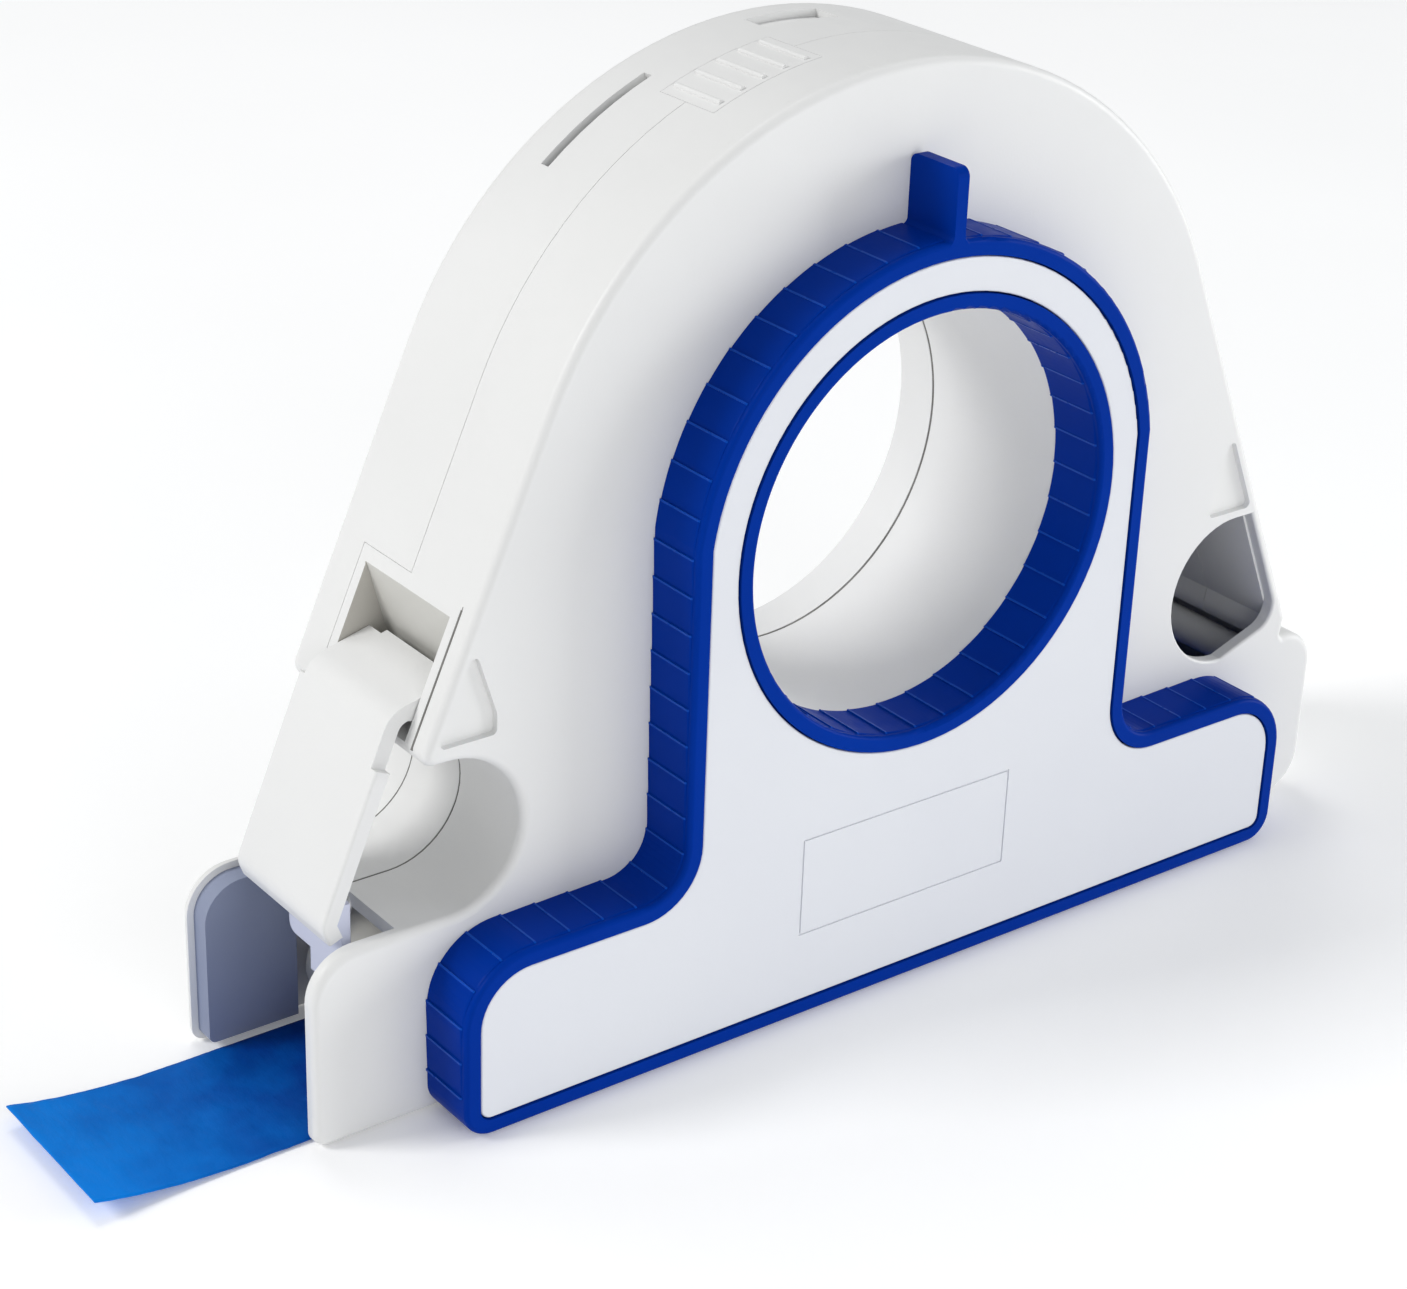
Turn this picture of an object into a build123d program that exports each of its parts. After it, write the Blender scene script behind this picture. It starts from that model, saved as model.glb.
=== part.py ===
from build123d import *
import os
from math import acos, atan2, cos, hypot, pi, radians, sin, sqrt, tan

# Masking tape applicator: a hand-held housing that unrolls masking tape from a
# standard core, presses it on a wall with a roller and cuts it at a blade.
# Frame: +Z up from the flat base, +X to the rear, -X to the front where the tape
# comes out, -Y the near side that carries the grip. The origin is on the base,
# under the hub axis, in the middle of the housing's width. All lengths in mm.

# Housing
wall = 2.4
axis_height = 83.0
flank_angle = 23.5
parting_offset = -2.0
seam_gap = 0.12
overrun = 2.0
near_edge_fillet = 1.4
far_edge_fillet = 2.2
opening_fillet = 0.5

# Front cheeks and the finger scoop behind them
cheek_overhang = 8.5
cheek_height = 33.39
cheek_corner = 8.0
cheek_toe = 2.4
near_cheek_setback = 1.1
far_cheek_height = 31.0
far_cheek_length = 13.5
far_cheek_step = 2.0
guide_plate_inset = 1.2
guide_plate_length = 17.5
guide_plate_thickness = 3.8
scoop_radius = 13.4
scoop_inset = 11.1
scoop_lip_fillet = 2.0
front_gap_length = 17.0
front_floor_length = 41.5

# Rear foot and the window above it
foot_overhang = 6.6
foot_height = 33.5
foot_corner = 7.4
heel_corner = 8.0
waist_depth = 2.4
waist_rise = 4.0
waist_fillet = 0.8
window_radius = 14.0
window_inset = 12.4
window_z = 47.3
window_wall = 2.0
window_corner_rise = 5.0
window_corner = 4.5
relief_depth = 1.2
relief_gap = 2.7
relief_height = 15.2
relief_wall = 2.2
relief_width = 10.5
relief_kink = 3.5
relief_fillet = 0.9

# Hub, core and roll
hand_hole_radius = 36.0
hub_wall = 1.8
hub_shortfall = 1.7
core_bore_radius = 38.1
core_wall = 2.0
roll_radius = 62.0
roll_room = 8.4
tape_width = 30.0
roll_side_gap = 0.8
drag_washer_width = 4.0
drag_washer_thickness = 0.5

# Grip
grip_depth = 11.2
grip_rim = 2.7
grip_arch_radius = 47.4
grip_stem_half = 46.9
grip_flange_height = 31.0
grip_half_length = 88.3
grip_flange_corner = 12.0
grip_root_fillet = 8.0
grip_base_corner = 5.0
grip_back = 2.0
ring_wall = 2.6
plate_gap = 0.25
plate_thickness = 2.0
plate_inset = 0.25
tab_offset = 1.0
tab_thickness = 2.2
tab_height = 11.4
tab_corner = 1.6
tab_root = 1.0
grip_edge_fillet = 0.8
ring_edge_fillet = 0.7
plate_edge_fillet = 0.3
label_left = -23.5
label_right = 21.0
label_drop = 49.5
label_height = 18.0
label_groove = 0.35
label_groove_depth = 0.25
grip_post_radius = 3.6
grip_post_outer_x = 50.0
grip_post_inner_x = 20.0
grip_post_z = 12.0
plate_ledge = 1.2

# Screws
screw_shank = 1.25
screw_head = 2.6
screw_head_height = 1.2
screw_length = 7.0
screw_recess = 0.5
screw_recess_depth = 0.7

# Application roller, guide roller and rear roller
roller_radius = 9.0
roller_sleeve_wall = 2.0
roller_inset = 28.0
roller_axle_radius = 2.0
guide_radius = 5.0
guide_offset = 13.0
guide_z = 29.0
guide_axle_radius = 1.5
rear_roller_radius = 11.0
rear_roller_inset = 15.5
rear_roller_side_gap = 1.2
rear_roller_narrowing = 4.0
rear_roller_lift = 0.3
rear_axle_radius = 2.0
roller_overhang = 0.4
running_fit = 0.05
axle_socket_depth = 1.5
carrier_gap = 1.0
carrier_thickness = 2.0
carrier_room = 1.4
carrier_margin = 3.2
post_radius = 3.2
front_post_offset = -1.0
front_post_z = 26.6
inner_post_offset = 11.5
inner_post_z = 16.0
rear_post_offset = -18.0
rear_post_z = 9.0
heel_post_offset = 6.0
heel_post_z = 26.6
clip_thickness = 0.6
clip_width = 1.4

# Tape between the roll and its free end
strip_thickness = 0.4
strip_clearance = 0.3
strip_free_length = 34.5
strip_lift = 3.0
strip_flat_length = 8.5

# Cutter
pocket_low = 62.7
pocket_high = 83.5
pocket_roof = 2.2
pocket_near_inset = 5.7
pocket_far_inset = 10.4
pocket_side_wall = 2.0
pocket_back_angle = 15.9
pocket_back_wall = 2.0
pocket_top_wall = 2.6
pocket_seam = 0.25
pin_inset = 5.9
pin_z = 66.7
pin_radius = 1.3
boss_radius = 2.4
arm_thickness = 2.6
arm_bend_z = 67.7
arm_bend_proud = 4.6
arm_knee_z = 35.6
arm_knee_proud = 3.95
arm_foot_z = 32.3
arm_foot_proud = 1.2
arm_top_z = 70.8
arm_top_inset = 5.8
arm_near_inset = 4.6
arm_far_inset = 9.0
arm_side_gap = 0.3
arm_edge_fillet = 0.5
arm_bend_radius = 5.0
arm_crook_radius = 2.2
arm_knee_radius = 4.0
arm_shoulder = 2.6
arm_neck = 8.6
arm_cap_start = 7.6
arm_cap_slope = 0.8
arm_cap_thickness = 1.2
arm_root = 2.6
arm_corner_cut = 1.1
arm_corner_width = 3.5
arm_corner_depth = 1.7
guard_thickness = 1.6
guard_top_z = 38.5
guard_low_z = 26.6
guard_near_inset = 5.0
guard_far_inset = 19.0
guard_corner = 1.8
stop_low_z = 22.6
stop_near_inset = 9.2
stop_far_inset = 25.4
blade_thickness = 0.6
blade_side_gap = 1.4
blade_top_z = 38.2
blade_low_z = 27.6
tooth_pitch = 1.6
tooth_height = 1.4
blade_screw_z = 36.2
blade_screw_spread = 8.0
blade_screw_shank = 1.0
blade_screw_head = 1.9
blade_screw_head_height = 0.9
blade_screw_bite = 1.4
spring_wire = 0.5
spring_turns = 4.5
spring_pitch = 1.1
spring_gap = 0.25
spring_offset = 2.35
spring_leg = 1.6
spring_samples = 400
spring_skip = 16

# Latch and the slot in the rim
latch_left_x = -30.0
latch_right_x = -9.5
latch_near_reach = 7.0
latch_far_reach = 6.6
latch_fit = 0.1
latch_leaf = 1.6
latch_leaf_gap = 0.4
hook_window_left_x = -7.0
hook_window_right_x = 7.5
hook_window_near_inset = 11.9
hook_window_far_inset = 6.0
hook_gap = 0.3
hook_skin = 1.0
grip_rib_count = 5
grip_rib_pitch = 4.0
grip_rib_rise = 0.5
grip_rib_end = 1.0
slot_start_angle = 112.4
slot_end_angle = 130.0
slot_near_inset = 10.1
slot_width = 2.0

# Widths that follow from the tape and the carriers beside it
near_side = wall + roll_side_gap
far_side = carrier_gap + carrier_thickness + carrier_room + wall
body_width = near_side + tape_width + far_side
near_y = -body_width / 2
far_y = body_width / 2
near_inner_y = near_y + wall
far_inner_y = far_y - wall
parting_y = (near_y + far_y) / 2 + parting_offset
cover_y = parting_y + seam_gap
grip_front_y = near_y - grip_depth
tape_near_y = near_inner_y + roll_side_gap
tape_far_y = tape_near_y + tape_width
hub_end_y = tape_far_y - hub_shortfall
carrier_y = tape_far_y + carrier_gap
carrier_far_y = carrier_y + carrier_thickness
rear_roller_far_y = carrier_y - rear_roller_side_gap
rear_roller_width = tape_width - rear_roller_narrowing
socket_y = near_inner_y - axle_socket_depth
pocket_near_y = near_y + pocket_near_inset
pocket_far_y = far_y - pocket_far_inset
arm_near_y = near_y + arm_near_inset
arm_far_y = far_y - arm_far_inset
spring_near_y = (pocket_near_y + pocket_far_y) / 2 + spring_offset
latch_near_y = parting_y - latch_near_reach
latch_far_y = parting_y + latch_far_reach
hook_window_near_y = far_y - hook_window_near_inset
hook_window_far_y = far_y - hook_window_far_inset
slot_near_y = far_y - slot_near_inset

# Radii and heights that follow from the roll
hub_outer_radius = hand_hole_radius + hub_wall
core_radius = core_bore_radius + core_wall
rim_inner_radius = roll_radius + roll_room
dome_radius = rim_inner_radius + wall
scoop_z = cheek_height + scoop_radius
strip_reach = strip_thickness + strip_clearance
roller_z = strip_reach + roller_radius
rear_roller_z = rear_roller_lift + rear_roller_radius
label_high = axis_height - label_drop
label_low = label_high - label_height


def side_plane(y):
    """Drawing plane at a given Y: sketch x is X, sketch y is Z, and an extrusion runs to -Y."""
    return Plane(origin=(0, y, 0), x_dir=(1, 0, 0), z_dir=(0, -1, 0))


def flank_x(z):
    """Distance of the straight flank from the middle plane at height z."""
    slant = radians(flank_angle)
    return (dome_radius - (z - axis_height) * sin(slant)) / cos(slant)


# Lengths that follow from the flanks
front_reach = flank_x(cheek_height) + cheek_overhang
rear_reach = flank_x(foot_height) + foot_overhang
scoop_x = scoop_inset - flank_x(scoop_z)
window_x = flank_x(window_z) - window_inset
roller_x = roller_inset - front_reach
guide_x = roller_x + guide_offset
rear_roller_x = rear_reach - rear_roller_inset
front_post_x = roller_x + front_post_offset
inner_post_x = guide_x + inner_post_offset
rear_post_x = rear_roller_x + rear_post_offset
heel_post_x = rear_roller_x + heel_post_offset
strip_end_x = -front_reach - strip_free_length
strip_lift_start = -front_reach - strip_flat_length
roof_z = pocket_high - pocket_roof
pin_x = pin_inset - flank_x(pin_z)
arm_bend_x = -flank_x(arm_bend_z) - arm_bend_proud
arm_knee_x = -flank_x(arm_knee_z) - arm_knee_proud
arm_foot_x = -flank_x(arm_foot_z) - arm_foot_proud
arm_top_x = arm_top_inset - flank_x(arm_top_z)
rear_opening_x = rear_roller_x - rear_roller_radius - roller_overhang
rear_opening_length = 2 * rear_roller_radius + 2 * roller_overhang


def flank_tangent():
    """Where the flank runs into the dome, as a distance from the middle plane and a height."""
    slant = radians(flank_angle)
    return dome_radius * cos(slant), axis_height + dome_radius * sin(slant)


def outline_points(top, step, setback):
    """Corners of the housing's side view and the radius at each, front toe first, going up."""
    waist_z = foot_height + waist_rise
    lip_z = scoop_z + scoop_radius
    front_x = setback - front_reach
    front = [(front_x, 0), (front_x, top)]
    front_radii = [cheek_toe, cheek_corner]
    if step > 0:
        step_x = front_x + far_cheek_length
        front += [(step_x, top), (step_x + step, cheek_height)]
        front_radii += [step / 2, step / 2]
    lip = (-flank_x(lip_z), lip_z)
    rear = [
        (flank_x(waist_z), waist_z),
        (flank_x(foot_height) - waist_depth, foot_height),
        (rear_reach, foot_height),
        (rear_reach, 0),
    ]
    rear_radii = [waist_fillet, waist_fillet, foot_corner, heel_corner]
    return front, front_radii, lip, rear, rear_radii


def corner_at(sketch, point):
    """The vertex of a sketch being built that lies at a point of its plane."""
    return sketch.vertices().sort_by_distance(Vector(point[0], point[1], 0))[0]


def housing_outline(top, step, setback):
    """Side view of the housing as a private sketch: cheek, scoop, flank, dome, flank and foot."""
    front, front_radii, lip, rear, rear_radii = outline_points(top, step, setback)
    tangent_x, tangent_z = flank_tangent()
    with BuildSketch(mode=Mode.PRIVATE) as outline:
        with BuildLine():
            Polyline(*front, (scoop_x, cheek_height))
            ThreePointArc(
                (scoop_x, cheek_height),
                (scoop_x + scoop_radius, scoop_z),
                (scoop_x, scoop_z + scoop_radius),
            )
            Polyline((scoop_x, scoop_z + scoop_radius), lip, (-tangent_x, tangent_z))
            ThreePointArc(
                (-tangent_x, tangent_z), (0, axis_height + dome_radius), (tangent_x, tangent_z)
            )
            Polyline((tangent_x, tangent_z), *rear, front[0])
        make_face()
        corners = front + [lip] + rear
        radii = front_radii + [scoop_lip_fillet] + rear_radii
        for corner, radius in zip(corners, radii):
            fillet(corner_at(outline, corner), radius=radius)
    return outline.sketch


def window_edge_x(z):
    """Inner side of the narrow wall between the rear window and the flank."""
    return flank_x(z) - window_wall / cos(radians(flank_angle))


def pocket_back_x(z):
    """Slanted back of the hinge pocket, which meets the flank at the pocket's roof."""
    return (roof_z - z) * tan(radians(pocket_back_angle)) - flank_x(roof_z)


def bracket_profile(front_margin):
    """Side view of the block that the cutter arm hinges in, out to the flank."""
    return [
        (-flank_x(pocket_low) - front_margin, pocket_low),
        (-flank_x(pocket_high) - front_margin, pocket_high),
        (pocket_top_wall - flank_x(pocket_high), pocket_high),
        (pocket_back_x(pocket_low) + pocket_back_wall, pocket_low),
    ]


def post_places():
    """Bosses that rise from the near wall and carry the two roller carriers."""
    return [
        (front_post_x, front_post_z),
        (inner_post_x, inner_post_z),
        (rear_post_x, rear_post_z),
        (heel_post_x, heel_post_z),
    ]


def grip_post_places():
    """Screw posts inside the grip, in a row under the hand hole."""
    return [
        (-grip_post_outer_x, grip_post_z),
        (-grip_post_inner_x, grip_post_z),
        (grip_post_inner_x, grip_post_z),
        (grip_post_outer_x, grip_post_z),
    ]


near_outline = housing_outline(cheek_height, 0, near_cheek_setback)
far_outline = housing_outline(far_cheek_height, far_cheek_step, 0)

# Near shell: side wall and cheek with the hub seat, window, screw bosses and blind axle sockets
with BuildPart() as near_shell:
    with BuildSketch(side_plane(near_inner_y)):
        add(near_outline)
    extrude(amount=wall)
    fillet(near_shell.faces().sort_by(Axis.Y)[0].outer_wire().edges(), radius=near_edge_fillet)
    with BuildSketch(side_plane(carrier_y)):
        with Locations(*post_places()):
            Circle(post_radius)
    extrude(amount=carrier_y - near_inner_y)
    with BuildSketch(side_plane(near_inner_y)):
        with Locations((0, axis_height)):
            Circle(hub_outer_radius)
    extrude(amount=wall + overrun, mode=Mode.SUBTRACT)
    with BuildSketch(side_plane(near_inner_y)) as window:
        with BuildLine():
            corner_z = window_z - window_radius + window_corner_rise
            window_foot = (window_edge_x(corner_z), corner_z)
            Polyline(
                (window_x, window_z + window_radius),
                (window_edge_x(window_z + window_radius), window_z + window_radius),
                window_foot,
                (window_x, window_z - window_radius),
            )
            ThreePointArc(
                (window_x, window_z - window_radius),
                (window_x - window_radius, window_z),
                (window_x, window_z + window_radius),
            )
        make_face()
        fillet(corner_at(window, window_foot), radius=window_corner)
    extrude(amount=wall + overrun, mode=Mode.SUBTRACT)
    window_rim = [
        edge
        for edge in near_shell.faces().sort_by(Axis.Y)[0].inner_wires().edges()
        if edge.center().X > window_x - window_radius - overrun
    ]
    fillet(window_rim, radius=opening_fillet)
    with BuildSketch(side_plane(near_y + relief_depth)) as reliefs:
        for side in (-1, 1):
            low = scoop_z + scoop_radius + relief_gap
            outer_low = flank_x(low) - relief_wall
            outer_high = flank_x(low + relief_height) - relief_wall
            relief = [
                (side * outer_low, low),
                (side * (outer_low - relief_width), low),
                (side * (outer_low - relief_width), low + relief_kink),
                (side * outer_high, low + relief_height),
            ]
            with BuildLine():
                Polyline(*relief, close=True)
            make_face()
        fillet(reliefs.vertices(), radius=relief_fillet)
    extrude(amount=relief_depth + overrun, mode=Mode.SUBTRACT)
    with BuildSketch(side_plane(near_inner_y)):
        with Locations((roller_x, roller_z)):
            Circle(roller_axle_radius)
        with Locations((guide_x, guide_z)):
            Circle(guide_axle_radius)
        with Locations((rear_roller_x, rear_roller_z)):
            Circle(rear_axle_radius)
    extrude(amount=axle_socket_depth, mode=Mode.SUBTRACT)
    with BuildSketch(side_plane(near_inner_y)):
        with Locations(*grip_post_places()):
            Circle(screw_shank)
    extrude(amount=wall + overrun, mode=Mode.SUBTRACT)
    with BuildSketch(side_plane(carrier_y)):
        with Locations(*post_places()):
            Circle(screw_shank)
    extrude(amount=screw_length, mode=Mode.SUBTRACT)


def rim_band(outline, near, far):
    """Band of wall thickness along an outline, open at the front gap and all along the floor."""
    with BuildPart(mode=Mode.PRIVATE) as band:
        with BuildSketch(side_plane(far)):
            add(outline)
            offset(amount=-wall, kind=Kind.INTERSECTION, mode=Mode.SUBTRACT)
        extrude(amount=far - near)
        with BuildSketch(side_plane(far + overrun)):
            with Locations((-front_reach - overrun, -overrun)):
                Rectangle(
                    front_gap_length + overrun,
                    cheek_height + 2 * overrun,
                    align=(Align.MIN, Align.MIN),
                )
                Rectangle(
                    front_reach + rear_opening_x + rear_opening_length + overrun,
                    wall + overrun,
                    align=(Align.MIN, Align.MIN),
                )
        extrude(amount=far - near + 2 * overrun, mode=Mode.SUBTRACT)
    return band.part


def floor_strip(near, far):
    """Floor between the front gap and the opening of the rear roller."""
    start_x = front_floor_length - front_reach
    with BuildPart(mode=Mode.PRIVATE) as strip:
        with Locations((start_x, near, 0)):
            Box(
                rear_opening_x - start_x,
                far - near,
                wall,
                align=(Align.MIN, Align.MIN, Align.MIN),
            )
    return strip.part


# Near rim: the near shell's band from the scoop over the dome to the foot
with BuildPart() as near_rim:
    add(rim_band(near_outline, near_inner_y, parting_y))
    with BuildSketch(side_plane(parting_y + overrun)):
        with BuildLine():
            Polyline(*bracket_profile(overrun), close=True)
        make_face()
    extrude(
        amount=parting_y + overrun - pocket_near_y + pocket_side_wall + pocket_seam,
        mode=Mode.SUBTRACT,
    )
    with BuildSketch(Plane.XY.offset(axis_height + rim_inner_radius / 2)):
        with Locations((latch_left_x, latch_near_y)):
            Rectangle(
                latch_right_x - latch_left_x, latch_far_y - latch_near_y, align=(Align.MIN, Align.MIN)
            )
    extrude(amount=dome_radius, mode=Mode.SUBTRACT)

# Near floor: the near shell's floor under the roll
with BuildPart() as near_floor:
    add(floor_strip(near_inner_y, parting_y))

# Far cover: side wall and cheek of the half that pulls off sideways, with the ring that seats the hub
with BuildPart() as far_cover:
    with BuildSketch(side_plane(far_y)):
        add(far_outline)
    extrude(amount=wall)
    fillet(far_cover.faces().sort_by(Axis.Y)[-1].outer_wire().edges(), radius=far_edge_fillet)
    with BuildSketch(side_plane(far_y)):
        with Locations((0, axis_height)):
            Circle(hub_outer_radius)
    extrude(amount=far_y - hub_end_y - seam_gap)
    with BuildSketch(side_plane(far_y + overrun)):
        with Locations((0, axis_height)):
            Circle(hand_hole_radius)
    extrude(amount=body_width, mode=Mode.SUBTRACT)

# Far rim: the cover's band, with the slot, the room for the hinge block and the hook's window
with BuildPart() as far_rim:
    add(rim_band(far_outline, cover_y, far_inner_y))
    with BuildSketch(side_plane(pocket_far_y + pocket_side_wall + seam_gap)):
        with BuildLine():
            Polyline(*bracket_profile(overrun), close=True)
        bracket_space = make_face()
        offset(bracket_space, amount=seam_gap, kind=Kind.INTERSECTION)
    extrude(amount=body_width / 2, mode=Mode.SUBTRACT)
    with BuildSketch(Plane.XY.offset(axis_height + rim_inner_radius / 2)):
        with Locations((latch_left_x, latch_near_y)):
            Rectangle(
                latch_right_x - latch_left_x, latch_far_y - latch_near_y, align=(Align.MIN, Align.MIN)
            )
        with Locations((hook_window_left_x, hook_window_near_y)):
            Rectangle(
                hook_window_right_x - hook_window_left_x,
                hook_window_far_y - hook_window_near_y,
                align=(Align.MIN, Align.MIN),
            )
    extrude(amount=dome_radius, mode=Mode.SUBTRACT)
    with BuildSketch(side_plane(hook_window_far_y)):
        with Locations((0, axis_height)):
            Circle(dome_radius - hook_skin)
            Circle(rim_inner_radius - overrun, mode=Mode.SUBTRACT)
        with Locations((hook_window_left_x, axis_height)):
            Rectangle(
                hook_window_right_x - hook_window_left_x,
                dome_radius,
                align=(Align.MIN, Align.MIN),
                mode=Mode.INTERSECT,
            )
    extrude(amount=hook_window_far_y - cover_y + overrun, mode=Mode.SUBTRACT)
    with BuildSketch(side_plane(slot_near_y + slot_width)):
        with Locations((0, axis_height)):
            Circle(dome_radius + overrun)
            Circle(rim_inner_radius - overrun, mode=Mode.SUBTRACT)
        slot_reach = dome_radius + body_width
        with BuildLine():
            Polyline(
                (0, axis_height),
                (slot_reach * cos(radians(slot_start_angle)),
                 axis_height + slot_reach * sin(radians(slot_start_angle))),
                (slot_reach * cos(radians(slot_end_angle)),
                 axis_height + slot_reach * sin(radians(slot_end_angle))),
                close=True,
            )
        make_face(mode=Mode.INTERSECT)
    extrude(amount=slot_width, mode=Mode.SUBTRACT)

# Far floor: the cover's floor under the roll
with BuildPart() as far_floor:
    add(floor_strip(cover_y, far_inner_y))

# Tape guide: a thick plate inside the far cheek that keeps the strip's far edge in line
with BuildPart() as tape_guide:
    with BuildSketch(side_plane(far_inner_y)) as guide_plate:
        add(far_outline)
        offset(amount=-guide_plate_inset, kind=Kind.INTERSECTION, mode=Mode.REPLACE)
        with Locations((-front_reach, 0)):
            Rectangle(
                guide_plate_length,
                far_cheek_height - guide_plate_inset,
                align=(Align.MIN, Align.MIN),
                mode=Mode.INTERSECT,
            )
    extrude(amount=guide_plate_thickness)

# Release latch: a ribbed thumb pad flush with the rim, on a leaf that ends in the cover's hook
with BuildPart() as release_latch:
    leaf_outer = rim_inner_radius - latch_leaf_gap
    with BuildSketch(side_plane(latch_far_y - latch_fit)):
        with Locations((0, axis_height)):
            Circle(dome_radius)
            Circle(leaf_outer - latch_leaf, mode=Mode.SUBTRACT)
        with Locations((latch_left_x + latch_fit, axis_height)):
            Rectangle(
                latch_right_x - latch_left_x - 2 * latch_fit,
                dome_radius,
                align=(Align.MIN, Align.MIN),
                mode=Mode.INTERSECT,
            )
    extrude(amount=latch_far_y - latch_near_y - 2 * latch_fit)
    hook_left_x = hook_window_left_x + hook_gap
    hook_right_x = hook_window_right_x - hook_gap
    hook_near_y = hook_window_near_y + hook_gap
    hook_far_y = hook_window_far_y - hook_gap
    with BuildSketch(side_plane(hook_far_y)):
        with Locations((0, axis_height)):
            Circle(leaf_outer)
            Circle(leaf_outer - latch_leaf, mode=Mode.SUBTRACT)
        with Locations((latch_left_x + latch_fit, axis_height)):
            Rectangle(
                hook_right_x - latch_left_x - latch_fit,
                dome_radius,
                align=(Align.MIN, Align.MIN),
                mode=Mode.INTERSECT,
            )
    extrude(amount=hook_far_y - latch_near_y - latch_fit)
    with BuildSketch(side_plane(hook_far_y)):
        with Locations((0, axis_height)):
            Circle(dome_radius - hook_skin - hook_gap)
            Circle(leaf_outer - latch_leaf, mode=Mode.SUBTRACT)
        with Locations((hook_left_x, axis_height)):
            Rectangle(
                hook_right_x - hook_left_x,
                dome_radius,
                align=(Align.MIN, Align.MIN),
                mode=Mode.INTERSECT,
            )
    extrude(amount=hook_far_y - hook_near_y)
    rib_span = (grip_rib_count - 1) * grip_rib_pitch
    rib_middle = (latch_left_x + latch_right_x) / 2
    with BuildSketch(side_plane(latch_far_y - latch_fit - grip_rib_end)):
        for index in range(grip_rib_count):
            rib_x = rib_middle - rib_span / 2 + index * grip_rib_pitch
            rib_z = axis_height + sqrt(dome_radius**2 - rib_x**2)
            with Locations((rib_x, rib_z)):
                Circle(grip_rib_rise)
    extrude(amount=latch_far_y - latch_near_y - 2 * latch_fit - 2 * grip_rib_end)

# Hub tube that the roll's core turns on; its bore is the hand hole
with BuildPart() as hub_tube:
    with BuildSketch(side_plane(hub_end_y)):
        with Locations((0, axis_height)):
            Circle(hub_outer_radius)
            Circle(hand_hole_radius, mode=Mode.SUBTRACT)
    extrude(amount=hub_end_y - near_y)

# Felt washer on the hub that keeps the roll from running on
with BuildPart() as drag_washer:
    with BuildSketch(side_plane(near_inner_y + drag_washer_thickness)):
        with Locations((0, axis_height)):
            Circle(hub_outer_radius + drag_washer_width)
            Circle(hub_outer_radius, mode=Mode.SUBTRACT)
    extrude(amount=drag_washer_thickness)

# Cardboard core and the tape wound on it
with BuildPart() as roll_core:
    with BuildSketch(side_plane(tape_far_y)):
        with Locations((0, axis_height)):
            Circle(core_radius)
            Circle(core_bore_radius, mode=Mode.SUBTRACT)
    extrude(amount=tape_width)
with BuildPart() as tape_roll:
    with BuildSketch(side_plane(tape_far_y)):
        with Locations((0, axis_height)):
            Circle(roll_radius)
            Circle(core_radius, mode=Mode.SUBTRACT)
    extrude(amount=tape_width)


def grip_outline(inset):
    """Side view of the grip: an arch on a stem on a long flange, drawn in by the inset."""
    arch = grip_arch_radius - inset
    stem = grip_stem_half - inset
    flange = grip_flange_height - inset
    half = grip_half_length - inset
    base = inset
    shoulder_z = axis_height + sqrt(arch**2 - stem**2)
    with BuildSketch(mode=Mode.PRIVATE) as outline:
        with BuildLine():
            ThreePointArc((-stem, shoulder_z), (0, axis_height + arch), (stem, shoulder_z))
            Polyline(
                (stem, shoulder_z),
                (stem, flange),
                (half, flange),
                (half, base),
                (-half, base),
                (-half, flange),
                (-stem, flange),
                (-stem, shoulder_z),
            )
        make_face()
        for side in (-1, 1):
            fillet(
                corner_at(outline, (side * stem, flange)),
                radius=grip_root_fillet + inset,
            )
            fillet(
                corner_at(outline, (side * half, flange)),
                radius=grip_flange_corner - inset,
            )
            fillet(
                corner_at(outline, (side * half, base)),
                radius=grip_base_corner - inset,
            )
    return outline.sketch


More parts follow.
